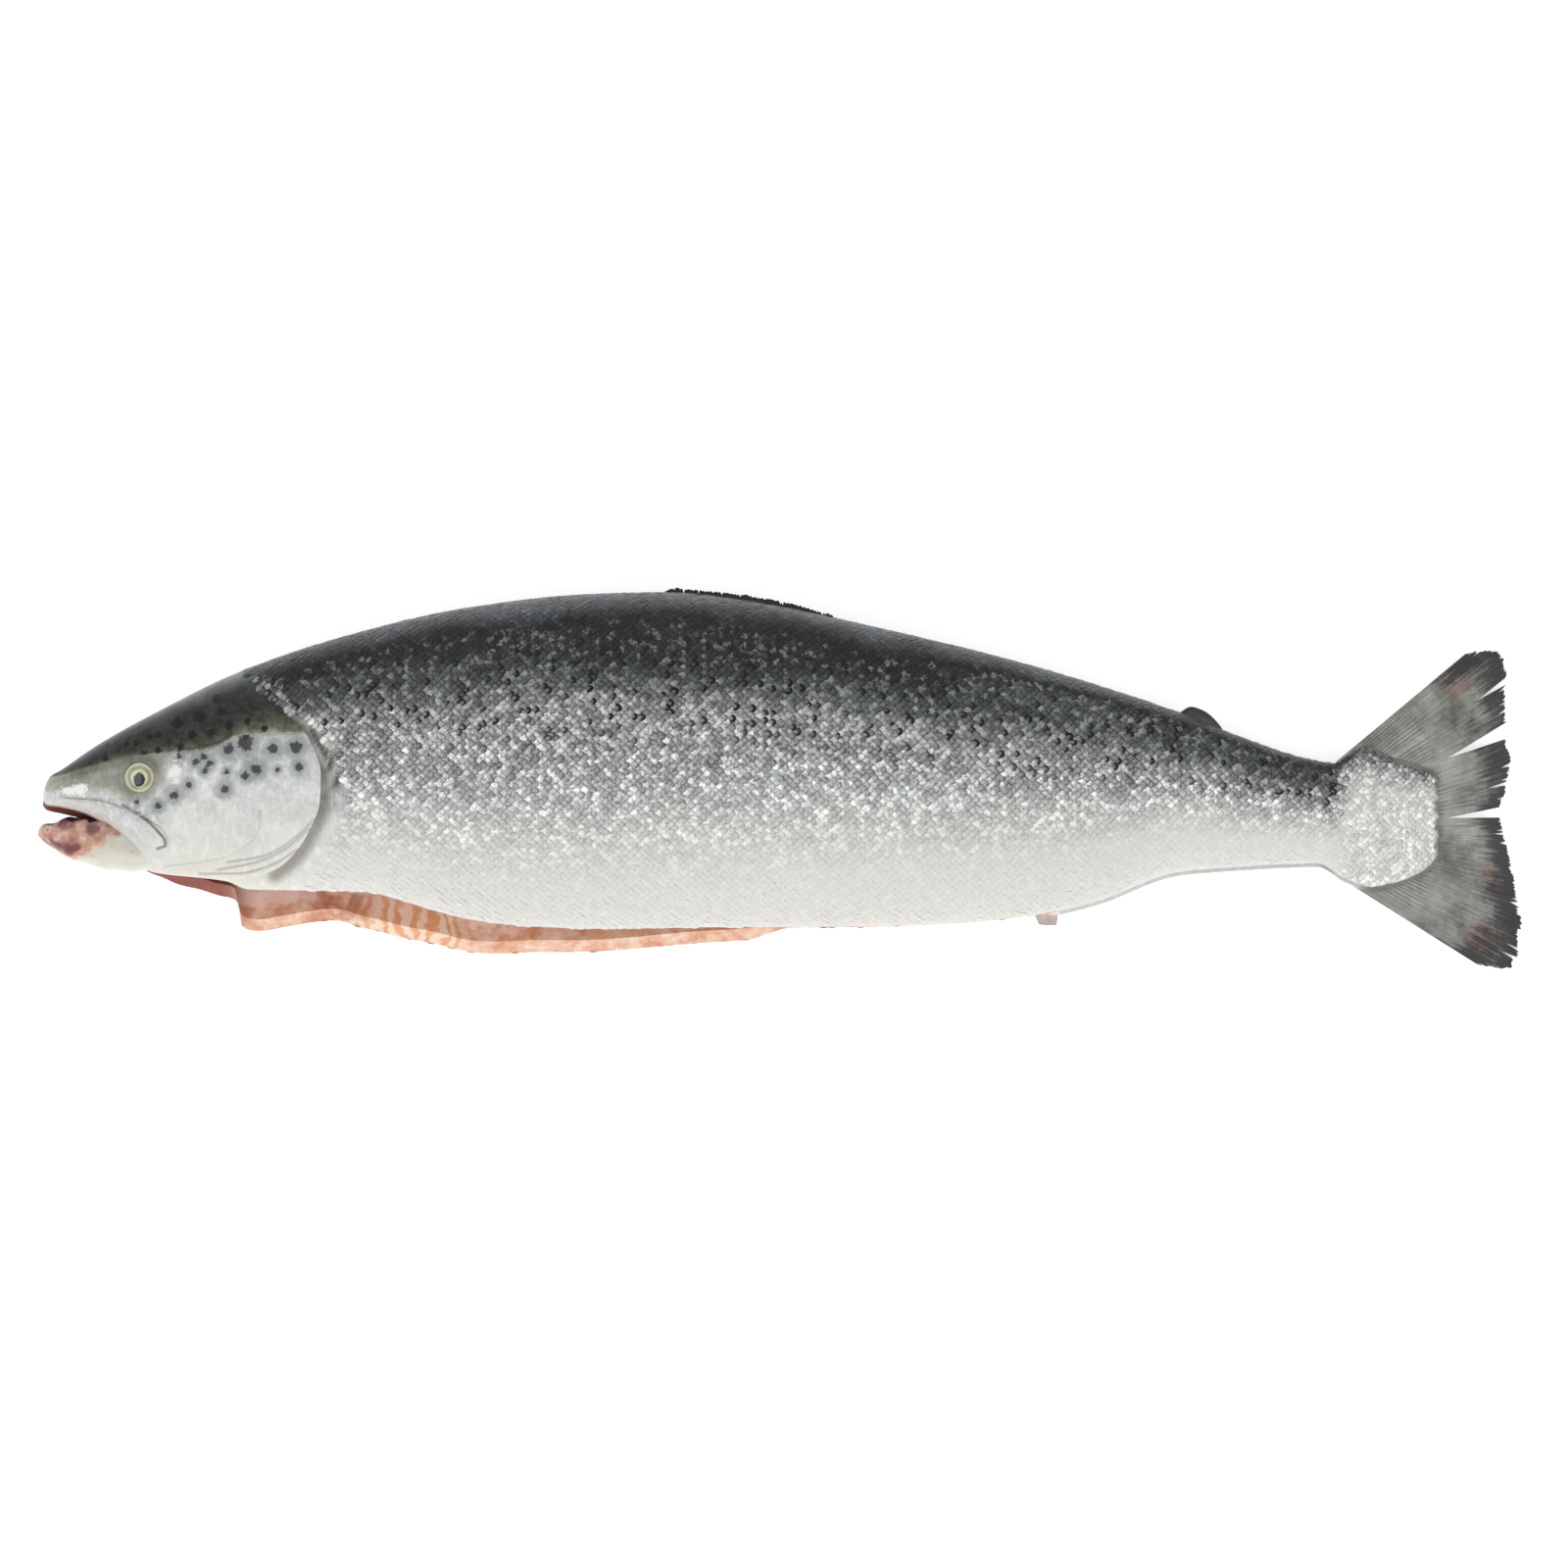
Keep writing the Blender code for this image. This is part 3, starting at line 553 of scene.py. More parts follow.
def flesh_material():
    """Pale lining over peach muscle, orange where it is cut, and red-brown gills ahead."""
    material, tree, shader = start_material("belly_flesh", 0.34, 0.45, 350, 0.3)
    shader.inputs["Subsurface Weight"].default_value = 0.12
    shader.inputs["Subsurface Radius"].default_value = (0.004, 0.0015, 0.0008)
    where = node(tree, "ShaderNodeTexCoord").outputs["Object"]
    x = node(tree, "ShaderNodeSeparateXYZ", None, {0: where}).outputs["X"]
    run = attribute(tree, "run")
    lining = colour_ramp(tree, noise(tree, 48, 6, 0.7), (
        (0.36, (238, 190, 172)), (0.46, (248, 210, 194)), (0.56, (252, 222, 208)), (0.68, (253, 233, 223)),
    ))  # fmt: skip
    cut = colour_ramp(tree, noise(tree, 110, 6, 0.7), (
        (0.38, (216, 148, 112)), (0.46, (226, 170, 138)), (0.54, (233, 190, 162)), (0.64, (240, 214, 194)),
    ))  # fmt: skip
    wander = calc(tree, "MULTIPLY_ADD", noise(tree, 150, 3), 0.3, -0.15)
    colour = mix(tree, step(tree, calc(tree, "ADD", run, wander), 0.1, 0.05), lining, cut)
    bands = node(tree, "ShaderNodeTexWave", {"bands_direction": "X"}, {
        "Vector": where, "Scale": 44.0, "Distortion": 9.0, "Detail": 3.0, "Detail Scale": 1.8,
    }).outputs["Fac"]  # fmt: skip
    front = calc(tree, "MULTIPLY", step(tree, x, -0.15, -0.17), step(tree, x, -0.225, -0.205))
    front = calc(tree, "MULTIPLY", front, step(tree, run, 0.2, 0.1))
    banded = colour_ramp(tree, bands, (
        (0.1, (226, 158, 108)), (0.4, (238, 190, 152)), (0.6, (247, 220, 198)),
    ))  # fmt: skip
    colour = mix(tree, calc(tree, "MULTIPLY", front, 0.8), colour, banded)
    blood = calc(tree, "MULTIPLY", step(tree, x, -0.2, -0.218), step(tree, x, -0.246, -0.23))
    blood = calc(tree, "MULTIPLY", blood, step(tree, noise(tree, 70, 5, 0.65), 0.44, 0.58))
    colour = mix(tree, calc(tree, "MULTIPLY", blood, 0.7), colour, (180, 104, 68))
    gills = mix(tree, noise(tree, 160, 4), (104, 34, 27), (176, 100, 84))
    colour = mix(tree, step(tree, x, -0.262, -0.285), colour, gills)
    tree.links.new(colour, shader.inputs["Base Color"])
    return material


bare_skin = skin_material("head_skin", HEAD_STOPS, False)
under_skin = skin_material("skin_under_scales", SKIN_STOPS, False)
flesh = flesh_material()

head_stops = np.concatenate([2.6 + 9.4 * np.linspace(0, 1, 12) ** 1.6, np.arange(13.2, 146, 1.25)])
trunk_stops = np.concatenate([np.arange(148, 640, 3.6), np.arange(641, 707, 1.6), [706.6, 707]])
stations = np.concatenate([head_stops, trunk_stops])
angles = LAST_ANGLE * np.linspace(1, -1, 2 * SIDE_STEPS + 1)
ring_sides = np.where(np.arange(2 * SIDE_STEPS + 1) <= SIDE_STEPS, 1, -1)


def skin_row(along):
    """The skin's outline there, from the upper flap's edge over the back to the lower one's."""
    upper = np.stack(skin_at(along, angles[: SIDE_STEPS + 1], 1), 1)
    lower = np.stack(skin_at(along, -angles[SIDE_STEPS + 1 :], -1), 1)
    return np.concatenate([upper, lower])


def outward(places):
    """The directions that point out of the skin, for a grid of places on it."""
    normal = np.cross(np.gradient(places, axis=1), np.gradient(places, axis=0))
    normal /= np.maximum(np.linalg.norm(normal, axis=2, keepdims=True), 1e-12)
    return normal * np.sign(normal[60, SIDE_STEPS // 2, 2])


rows = np.array([skin_row(s) for s in stations])
skin_along = np.repeat(stations[:, None], rows.shape[1], 1)
skin_up = rows[..., 0]
skin_place = world_place(skin_along, skin_up, rows[..., 1])
relief = head_relief(skin_along, skin_up) - SKIN_SINK * ramp(skin_along, 3, 12)
skin_place = skin_place + outward(skin_place) * relief[..., None] * MM
skin_place[..., 2] = np.maximum(skin_place[..., 2], UNDERSIDE * MM)
skin_normal = outward(skin_place)
skin_belly = np.where(ring_sides > 0, belly_edge(skin_along, 1), belly_edge(skin_along, -1))
skin_shades = skin_shade(skin_along, skin_up, skin_belly)

# Painted shade and dark lines: shade in the slit behind the gills, behind the gill cover's rear edge and
# round the eye socket, and the dark outline of the upper jaw's blade.
skin_painted_shade_and_lines = line_field((SLIT_BEHIND_GILLS,), skin_along, skin_up, 2.2)
skin_painted_shade_and_lines = np.maximum(skin_painted_shade_and_lines, 0.62 * line_field((GILL_SHADOW,), skin_along, skin_up, 6.5))
skin_painted_shade_and_lines = np.maximum(skin_painted_shade_and_lines, 0.9 * line_field((BLADE_LINE,), skin_along, skin_up, 1.2))
skin_painted_shade_and_lines = np.maximum(skin_painted_shade_and_lines, socket_shadow(skin_along, skin_up))
to_rim = np.minimum(back_line(skin_along) - skin_up, skin_up - skin_belly + 4)
web_joint = np.minimum(TRUNK_END - skin_along, 0.8 * to_rim)
web_joint = web_joint + 1.1 * np.sin(0.61 * skin_up) + 0.8 * np.sin(1.37 * skin_up + 0.5 * skin_along)
skin_web = ramp(-web_joint, -3.6, -0.6) * ramp(skin_along, *WEB_JOINT)
skin_slit = line_field((SLIT_BEHIND_GILLS,), skin_along, skin_up, 3.0)
trunk_vertices = []
trunk_fields = {key: [] for key in ("shade", "spot", "painted_glint", "painted_shade_and_lines", "lip", "web", "run")}
for s, along in enumerate(stations):
    back, belly, opened = back_line(along), belly_line(along), how_open(along)
    deepest = back + (belly - back) * (1 - cavity_depth(along))
    hollow_root = np.array([deepest, (middle_at(along, deepest, 1) + middle_at(along, deepest, -1)) / 2])
    keel_root = np.array([belly - SHUT_CREASE, middle_at(along, belly, 1)])
    root = keel_root + (hollow_root - keel_root) * opened
    inside = np.concatenate([cavity_wall(along, -1, deepest)[::-1], [root], cavity_wall(along, 1, deepest)])
    trunk_vertices += [*skin_place[s], *world_place(along, inside[:, 0], inside[:, 1])]
    lip = ramp(skin_up[s], belly + 1.6, belly + 0.4) * ramp(-along, -38, -30)
    painted_glint = painted_glint_field(skin_along[s], skin_up[s]) * (ring_sides > 0) - (ring_sides < 0)
    blank = np.zeros(len(inside))
    deep = 1 - np.abs(np.linspace(-1, 1, len(inside)))
    trunk_fields["shade"] += [*skin_shades[s], *(blank + 1)]
    trunk_fields["spot"] += [*spot_field(skin_along[s], skin_up[s]), *(blank - 1)]
    trunk_fields["painted_glint"] += [*painted_glint, *(blank - 1)]
    trunk_fields["painted_shade_and_lines"] += [*skin_painted_shade_and_lines[s], *blank]
    trunk_fields["web"] += [*skin_web[s], *(blank + ramp(along, 664, 672))]
    trunk_fields["lip"] += [*lip, *(blank + float(along < 45))]
    trunk_fields["run"] += [*np.zeros(len(skin_up[s])), *deep]
ring = len(trunk_vertices) // len(stations)
for end in (0, -1):
    first = (len(stations) - 1) * ring if end else 0
    trunk_vertices.append(np.mean(trunk_vertices[first : first + ring], axis=0))
    for values in trunk_fields.values():
        values.append(float(np.mean(values[first : first + ring])))
skin_columns = 2 * SIDE_STEPS
slots = []
for along in stations[:-1]:
    skin_slot = 0 if along < HEAD_END else 1
    inner_slot = 2 if SLIT_ENDS[0] < along < SLIT_ENDS[1] else skin_slot
    slots += [skin_slot] * skin_columns + [inner_slot] * (ring - skin_columns)
mesh_piece("skin_and_flesh", trunk_vertices, tube_faces(len(stations), ring), trunk_fields,
           (bare_skin, under_skin, flesh), slots + [0] * ring + [1] * ring, 50)  # fmt: skip

# Thin round scales overlap like roof tiles, their free edges towards the tail. Each is a
# clear plate over silver and black pigment, so that no two next to each other look alike.
SCALE_PITCH = 4.1
SCALE_LENGTH = 6.2
SCALE_WIDTH = 4.7
SCALE_DOME = 0.16
SCALE_LIFT = math.radians(4)
SCALE_JITTER = 0.45
FIRST_SCALES = (  # how far forward the scales reach, by their place up the side
    (-56, 134), (-40, 145), (-24, 153), (-8, 156), (4, 152), (16, 147.5), (26, 140), (36, 124),
    (46, 112), (56, 104), (80, 104),
)  # fmt: skip


def set_inputs(modifier, values):
    """A geometry tree's inputs, set by their sockets' identifiers."""
    for item in modifier.node_group.interface.items_tree:
        if item.item_type == "SOCKET" and item.in_out == "INPUT" and item.name in values:
            modifier[item.identifier] = values[item.name]


def new_tree(name, inputs):
    """An empty geometry tree with named inputs."""
    tree = bpy.data.node_groups.new(name, "GeometryNodeTree")
    tree.interface.new_socket("Geometry", in_out="INPUT", socket_type="NodeSocketGeometry")
    tree.interface.new_socket("Geometry", in_out="OUTPUT", socket_type="NodeSocketGeometry")
    for key, kind in inputs:
        tree.interface.new_socket(key, in_out="INPUT", socket_type="NodeSocket" + kind)
    return tree, node(tree, "NodeGroupInput").outputs


def finish_tree(tree, geometry, material):
    realized = node(tree, "GeometryNodeRealizeInstances", None, {"Geometry": geometry}).outputs[0]
    painted = node(tree, "GeometryNodeSetMaterial", None, {"Geometry": realized, "Material": material})
    node(tree, "NodeGroupOutput", None, {"Geometry": painted.outputs[0]})


def grow(name, guide, tree, values):
    """The plain mesh that a geometry tree makes from a guide, as a piece of the fish."""
    carrier = bpy.data.objects.new(name + "_guide", guide)
    bpy.context.scene.collection.objects.link(carrier)
    modifier = carrier.modifiers.new("grow", "NODES")
    modifier.node_group = tree
    set_inputs(modifier, values)
    bpy.context.view_layer.update()
    evaluated = carrier.evaluated_get(bpy.context.evaluated_depsgraph_get())
    mesh = bpy.data.meshes.new_from_object(evaluated)
    mesh.name = name
    bpy.data.objects.remove(carrier)
    dress(name, mesh)


def scale_tree():
    inputs = (("Length", "Float"), ("Width", "Float"), ("Dome", "Float"), ("Lift", "Float"),
              ("Unevenness", "Float"), ("Seed", "Int"), ("Material", "Material"))  # fmt: skip
    tree, given = new_tree("overlapping_scales", inputs)
    disc = node(tree, "GeometryNodeMeshCircle", {"fill_type": "TRIANGLE_FAN"}, {"Vertices": 8, "Radius": 0.5})
    where = node(tree, "GeometryNodeInputPosition").outputs[0]
    length = node(tree, "ShaderNodeVectorMath", {"operation": "LENGTH"}, {0: where}).outputs["Value"]
    rim = calc(tree, "MULTIPLY", length, 2.0)
    marked = node(tree, "GeometryNodeStoreNamedAttribute", {"data_type": "FLOAT", "domain": "POINT"},
                  {"Geometry": disc.outputs[0], "Name": "rim", "Value": rim})  # fmt: skip
    rise = calc(tree, "MULTIPLY", calc(tree, "SUBTRACT", 1.0, rim), given["Dome"])
    offset = node(tree, "ShaderNodeCombineXYZ", None, {"Z": rise}).outputs[0]
    domed = node(tree, "GeometryNodeSetPosition", None, {"Geometry": marked.outputs[0], "Offset": offset})
    size = node(tree, "ShaderNodeCombineXYZ", None, {"X": given["Length"], "Y": given["Width"], "Z": 1.0})
    size = size.outputs[0]
    scale = node(tree, "GeometryNodeTransform", None, {"Geometry": domed.outputs[0], "Scale": size})
    facing, tailward, growth = (
        node(tree, "GeometryNodeInputNamedAttribute", {"data_type": kind}, {"Name": key}).outputs["Attribute"]
        for key, kind in (("facing", "FLOAT_VECTOR"), ("tailward", "FLOAT_VECTOR"), ("growth", "FLOAT"))
    )
    outward = node(tree, "FunctionNodeAlignRotationToVector", {"axis": "Z"}, {"Vector": facing}).outputs[0]
    settled = node(tree, "FunctionNodeAlignRotationToVector", {"axis": "X", "pivot_axis": "Z"},
                   {"Rotation": outward, "Vector": tailward}).outputs[0]  # fmt: skip
    low, high = (
        node(tree, "ShaderNodeVectorMath", {"operation": "SCALE"},
             {0: (s, 0.6 * s, 1.2 * s), "Scale": given["Unevenness"]}).outputs[0]
        for s in (-1, 1)
    )  # fmt: skip
    random_turn = node(tree, "FunctionNodeRandomValue", {"data_type": "FLOAT_VECTOR"},
                       {"Min": low, "Max": high, "Seed": given["Seed"]}).outputs[0]  # fmt: skip
    raised = calc(tree, "MULTIPLY", given["Lift"], -1.0)
    lift = node(tree, "ShaderNodeCombineXYZ", None, {"Y": raised}).outputs[0]
    turn = node(tree, "ShaderNodeVectorMath", {"operation": "ADD"}, {0: random_turn, 1: lift}).outputs[0]
    turn = node(tree, "FunctionNodeEulerToRotation", None, {0: turn}).outputs[0]
    final = node(tree, "FunctionNodeRotateRotation", {"rotation_space": "LOCAL"},
                 {"Rotation": settled, "Rotate By": turn}).outputs[0]  # fmt: skip
    laid = node(tree, "GeometryNodeInstanceOnPoints", None, {
        "Points": given["Geometry"], "Instance": scale.outputs[0], "Rotation": final, "Scale": growth,
    })  # fmt: skip
    tone = node(tree, "FunctionNodeRandomValue", {"data_type": "FLOAT"},
                {2: 0.0, 3: 1.0, "Seed": calc(tree, "ADD", given["Seed"], 5.0)}).outputs[1]  # fmt: skip
    toned = node(tree, "GeometryNodeStoreNamedAttribute", {"data_type": "FLOAT", "domain": "INSTANCE"},
                 {"Geometry": laid.outputs[0], "Name": "tone", "Value": tone})  # fmt: skip
    finish_tree(tree, toned.outputs[0], given["Material"])
    return tree


def scale_bed(side):
    """Points on the skin where that side's scales grow, in a lattice of diamonds."""
    front = smooth(FIRST_SCALES)
    picked = slice(0, SIDE_STEPS + 1) if side > 0 else slice(SIDE_STEPS, 2 * SIDE_STEPS + 1)
    places, normals, shades, growths, tails, bares = [], [], [], [], [], []
    along, column = 103.0, 0
    tailward = np.gradient(skin_place, axis=0)
    while along < 704.5:
        r = int(np.clip(np.searchsorted(stations, along) - 1, 0, len(stations) - 2))
        share = (along - stations[r]) / (stations[r + 1] - stations[r])
        place, normal, shade, tail, up, joint, slit = (
            grid[r, picked] * (1 - share) + grid[r + 1, picked] * share
            for grid in (skin_place, skin_normal, skin_shades, tailward, skin_up, skin_web, skin_slit)
        )
        run = np.concatenate([[0], np.cumsum(np.linalg.norm(np.diff(place, axis=0), axis=1))]) / MM
        pitch = SCALE_PITCH * (0.8 + 0.2 * float(ramp(along, 700, 560)))
        centre = run[int(np.argmin(np.abs(up - (up[0] + up[-1]) / 2)))]
        first = math.ceil((run[0] + 1.2 - centre) / pitch - (column % 2) / 2)
        for k in range(first, 200):
            at = centre + (k + (column % 2) / 2) * pitch + random.uniform(-1, 1) * SCALE_JITTER
            if at > run[-1] - (1.6 if along < 664 else 0.7):
                break
            height = np.interp(at, run, up)
            if along < front(height) + random.uniform(-2, 1):
                continue
            if random.random() < np.interp(at, run, joint) or np.interp(at, run, slit) > 0.4:
                continue
            # Painted sheen: scales along the nape, just behind the head, are made lighter at random.
            painted_nape_sheen = ramp(height, 10, 26) * ramp(-height, -56, -48) * ramp(front(height) - along, -11, -3)
            places.append([np.interp(at, run, place[:, a]) for a in range(3)])
            normals.append([np.interp(at, run, normal[:, a]) for a in range(3)])
            tails.append([np.interp(at, run, tail[:, a]) for a in range(3)])
            shades.append(np.interp(at, run, shade) + 0.42 * painted_nape_sheen * random.random() ** 0.7)
            growths.append(MM * pitch / SCALE_PITCH * random.uniform(0.9, 1.1))
            bares.append(float(ramp(along, *TAIL_BASE)))
        along += pitch / 2
        column += 1
    guide = bpy.data.meshes.new("scale_bed")
    guide.from_pydata(places, [], [])
    for key, kind, values in (("facing", "FLOAT_VECTOR", normals), ("tailward", "FLOAT_VECTOR", tails)):
        layer = guide.attributes.new(key, kind, "POINT")
        layer.data.foreach_set("vector", np.array(values, np.float32).ravel())
    for key, values in (("shade", shades), ("growth", growths), ("bare", bares)):
        guide.attributes.new(key, "FLOAT", "POINT").data.foreach_set("value", np.array(values, np.float32))
    return guide


random.seed(7)
scaled_skin = skin_material("scaled_skin", SKIN_STOPS, True)
scales = scale_tree()
for name, side in (("scales_left", 1), ("scales_right", -1)):
    grow(name, scale_bed(side), scales, {
        "Length": SCALE_LENGTH, "Width": SCALE_WIDTH, "Dome": SCALE_DOME, "Lift": SCALE_LIFT,
        "Unevenness": 0.07, "Seed": 11 + side, "Material": scaled_skin,
    })  # fmt: skip

# The gill covers are thin bony plates under smooth skin, hinged at the cheek and free at
# the rear. Fine creases mark where their bones meet. The narrow bone of the upper jaw is a
# blade of the same make that ends behind the mouth.
GILL_COVER_REAR = (
    (122, 34.6), (132.4, 28.2), (139.3, 16.8), (143.3, 3.5), (142.8, -10.4), (137.3, -25.2),
    (129.4, -37.1), (119.5, -45), (105.7, -48.9), (94.8, -50), (78.5, -48.6), (64, -46.2),
)  # fmt: skip
GILL_COVER_FRONT = (
    (111.6, 30.1), (105.7, 18.3), (108.2, 3.5), (109.2, -8.9), (111.6, -22.2), (105.7, -32.1),
    (93.4, -39), (64, -43.5),
)  # fmt: skip
GILL_COVER_LIFT = 2.8
UPPER_JAW_PLATE = ((12.8, -9.8), (31.6, -13.6), (46.4, -20.6), (56.3, -26.4), (65.2, -32))
UPPER_JAW_PLATE_HALF = ((0, 0.8), (0.3, 2.8), (0.65, 4.6), (0.85, 5.2), (0.96, 3.4), (1, 1.2))
UPPER_JAW_LIFT = 1.3
PLATE_ROOT = 2.5
CLEAR_OF_TABLE = 0.15
CREASES = (
    ((98.1, 20.3), (104.5, 11.9), (106.5, 5), (108.4, -7.7)),
    ((112.3, -15.5), (111.8, -23.3), (107.9, -30.1), (100.1, -35.1)),
    ((140.1, -19.4), (128.4, -30.1), (113.6, -38), (96.2, -40.9)),
    ((137.2, -24.3), (125.5, -34.1), (110.8, -40.9), (91.3, -44.8)),
    ((131, -35), (118, -42.5), (102, -46.6), (82, -46.9)),
)


def thin_piece(name, top, under, fields, material, sharp):
    """A closed plate or web, from the grids of places on its top and under it."""
    high, wide = top.shape[:2]
    faces = []
    for r in range(high - 1):
        for c in range(wide - 1):
            k = (r * wide + c, r * wide + c + 1, (r + 1) * wide + c + 1, (r + 1) * wide + c)
            faces += [k, tuple(high * wide + i for i in reversed(k))]
    grid = np.arange(high * wide).reshape(high, wide)
    rim = [*grid[0], *grid[1:-1, -1], *grid[-1][::-1], *grid[-2:0:-1, 0]]
    faces += [(a, b, high * wide + b, high * wide + a) for a, b in zip(rim, rim[1:] + rim[:1])]
    fields = {key: np.concatenate([np.ravel(v), np.ravel(v)]) for key, v in fields.items()}
    vertices = [*top.reshape(-1, 3), *under.reshape(-1, 3)]
    mesh_piece(name, vertices, faces, fields, (material,), sharp=sharp)


def plate(name, along, up, lift, side, painted_shade_and_lines, material):
    """A bony plate over the side of the head. along, up and lift are grids."""
    base = skin_height(along, up, side)
    top = world_place(along, up, np.maximum(base + side * lift, CLEAR_OF_TABLE))
    under = world_place(along, up, np.maximum(base - side * PLATE_ROOT, CLEAR_OF_TABLE))
    fields = {
        "shade": skin_shade(along, up, belly_edge(along, side), True), "spot": spot_field(along, up),
        "painted_glint": np.full(along.shape, -1.0), "painted_shade_and_lines": painted_shade_and_lines, "lip": np.zeros(along.shape),
        "web": np.zeros(along.shape),
    }  # fmt: skip
    thin_piece(name, top, under, fields, material, 42)


def gill_cover(name, side):
    rows, columns = np.linspace(0, 1, 130), np.linspace(0, 1, 56)
    front, rear = (np.stack(trace(line)(rows), 1) for line in (GILL_COVER_FRONT, GILL_COVER_REAR))
    spots = front[:, None] + (rear - front)[:, None] * columns[None, :, None]
    along, up = spots[..., 0], spots[..., 1]
    ease = smooth(((0, 0.2), (0.08, 1), (0.8, 0.8), (1, 0.3)))(rows)[:, None]
    crease = line_field(CREASES, along, up, 1.1)
    rolled = 0.5 * ramp(columns, 0.97, 1)[None, :]
    lift = (GILL_COVER_LIFT + 0.3) * ease * columns[None, :] ** 0.8 - 0.4 - 0.45 * crease - rolled
    # The creases are darkened in colour too: painted shade in them.
    plate(name, along, up, lift, side, 0.4 * crease, bare_skin)


def upper_jaw_blade(name, side):
    rows, columns = np.linspace(0, 1, 70), np.linspace(-1, 1, 19)
    x, y = trace(UPPER_JAW_PLATE)(rows)
    across = np.stack([-np.gradient(y), np.gradient(x)], 1)
    across /= np.linalg.norm(across, axis=1, keepdims=True)
    offset = smooth(UPPER_JAW_PLATE_HALF)(rows)[:, None] * columns[None, :]
    along, up = x[:, None] + across[:, :1] * offset, y[:, None] + across[:, 1:] * offset
    lift = UPPER_JAW_LIFT * (1 - 0.55 * np.abs(columns[None, :]) ** 3) * np.ones_like(along) - 0.1
    plate(name, along, up, lift, side, 0.9 * line_field((BLADE_LINE,), along, up, 1.2), bare_skin)


for name, side in (("left", 1), ("right", -1)):
    gill_cover("gill_cover_" + name, side)
    upper_jaw_blade("upper_jaw_blade_" + name, side)

# The lower jaw hangs a little open. It is pale skin over bone, and its hooked tip is worn
# raw: pink flesh in lumps with dark red clots, and a dark line along its top edge.
JAW_TOP = (
    (0.2, -24.6), (3, -21.8), (7, -21), (12, -18.9), (20, -17.6), (30, -18), (45, -22), (62, -30),
)  # fmt: skip
JAW_BOTTOM = (
    (0.2, -28), (3, -31), (9, -36.2), (15, -40), (24, -42), (33, -44.8), (50, -46.4),
    (57, -44.5), (62, -38),
)  # fmt: skip
JAW_HALF = ((0.2, 3), (3, 6.5), (10, 10.5), (20, 13), (36, 17.5), (50, 16), (62, 10))
JAW_CLOTS = ((9.5, -34, 4.2), (15, -35.6, 3.6), (20, -34, 2.2), (14, -22, 3.6), (29, -24.6, 4.2))


def jaw_material():
    material, tree, shader = start_material("lower_jaw_skin", 0.34, 0.45, 420, 0.3)
    shader.inputs["Subsurface Weight"].default_value = 0.1
    shader.inputs["Subsurface Radius"].default_value = (0.003, 0.0012, 0.0006)
    skin = colour_ramp(tree, noise(tree, 45, 4), (
        (0.3, (200, 192, 172)), (0.5, (214, 210, 197)), (0.7, (218, 215, 207)),
    ))  # fmt: skip
    raw = colour_ramp(tree, noise(tree, 130, 5, 0.6), (
        (0.36, (160, 104, 86)), (0.45, (188, 136, 114)), (0.54, (204, 158, 138)), (0.64, (226, 194, 178)),
    ))  # fmt: skip
    ragged = calc(tree, "MULTIPLY_ADD", noise(tree, 120, 4, 0.6), 2.4, -1.2)
    rawness = step(tree, calc(tree, "ADD", attribute(tree, "raw"), ragged), 0.1, 0.95)
    colour = mix(tree, rawness, skin, raw)
    stained = calc(tree, "MULTIPLY_ADD", noise(tree, 110, 5, 0.65), 4.0, -2.0)
    blood = step(tree, calc(tree, "ADD", attribute(tree, "blood"), stained), -0.2, 0.7)
    colour = mix(tree, calc(tree, "MULTIPLY", blood, 0.85), colour, (112, 42, 58))
    # A near-black line along the top edge of the worn tip, ragged at its edges.
    line_ragging = calc(tree, "MULTIPLY_ADD", noise(tree, 260, 3), 2.4, -1.2)
    dark_top_line = step(tree, calc(tree, "ADD", attribute(tree, "dark_top_line"), line_ragging), 0.4, 0.7)
    colour = mix(tree, dark_top_line, colour, (46, 34, 38))
    tree.links.new(colour, shader.inputs["Base Color"])
    return material


jaw_stops = np.concatenate([0.2 + 5.8 * np.linspace(0, 1, 12) ** 1.5, np.linspace(6.8, 62, 60)])
turn = np.linspace(0, math.tau, 64, endpoint=False)
jaw_vertices, jaw_raw, jaw_dark_top_line, jaw_blood = [], [], [], []
lumps = np.random.default_rng(4)
lump_spots = lumps.uniform((0, 0), (40, math.tau), (60, 2))
for along in jaw_stops:
    top, bottom, half = (float(smooth(c)(along)) for c in (JAW_TOP, JAW_BOTTOM, JAW_HALF))
    lumps_here = (((along - x) / 2.6) ** 2 + (np.sin((turn - a) / 2) * 5) ** 2 for x, a in lump_spots)
    bump = sum(np.exp(-distance) for distance in lumps_here)
    plain_up = (top + bottom) / 2 + (top - bottom) / 2 * np.cos(turn)
    raw = ramp(plain_up + 39.5 - 0.54 * (along - 20), -3, 3) * ramp(-along, -46, -40)
    worn = 1 - 0.10 * bump * raw * min(along / 3, 1)
    across = np.sign(np.sin(turn)) * np.abs(np.sin(turn)) ** 0.8
    up = (top + bottom) / 2 + (top - bottom) / 2 * np.cos(turn) * worn
    jaw_vertices += [*world_place(along, up, axis_height(along) + half * across * worn * 0.985)]
    jaw_raw += [*raw]
    jaw_dark_top_line += [*(ramp(np.cos(turn), 0.66, 0.95) * ramp(-along, -40, -26))]
    clots = [1 - np.hypot(along - x, plain_up - y) / reach for x, y, reach in JAW_CLOTS]
    jaw_blood += [*np.max(clots, axis=0)]
for ring_of in (jaw_vertices[:64], jaw_vertices[-64:]):
    jaw_vertices.append(np.mean(ring_of, axis=0))
    jaw_raw.append(1.0 if len(jaw_vertices) % 2 else 0.0)
    jaw_dark_top_line.append(0.0)
    jaw_blood.append(-1.0)
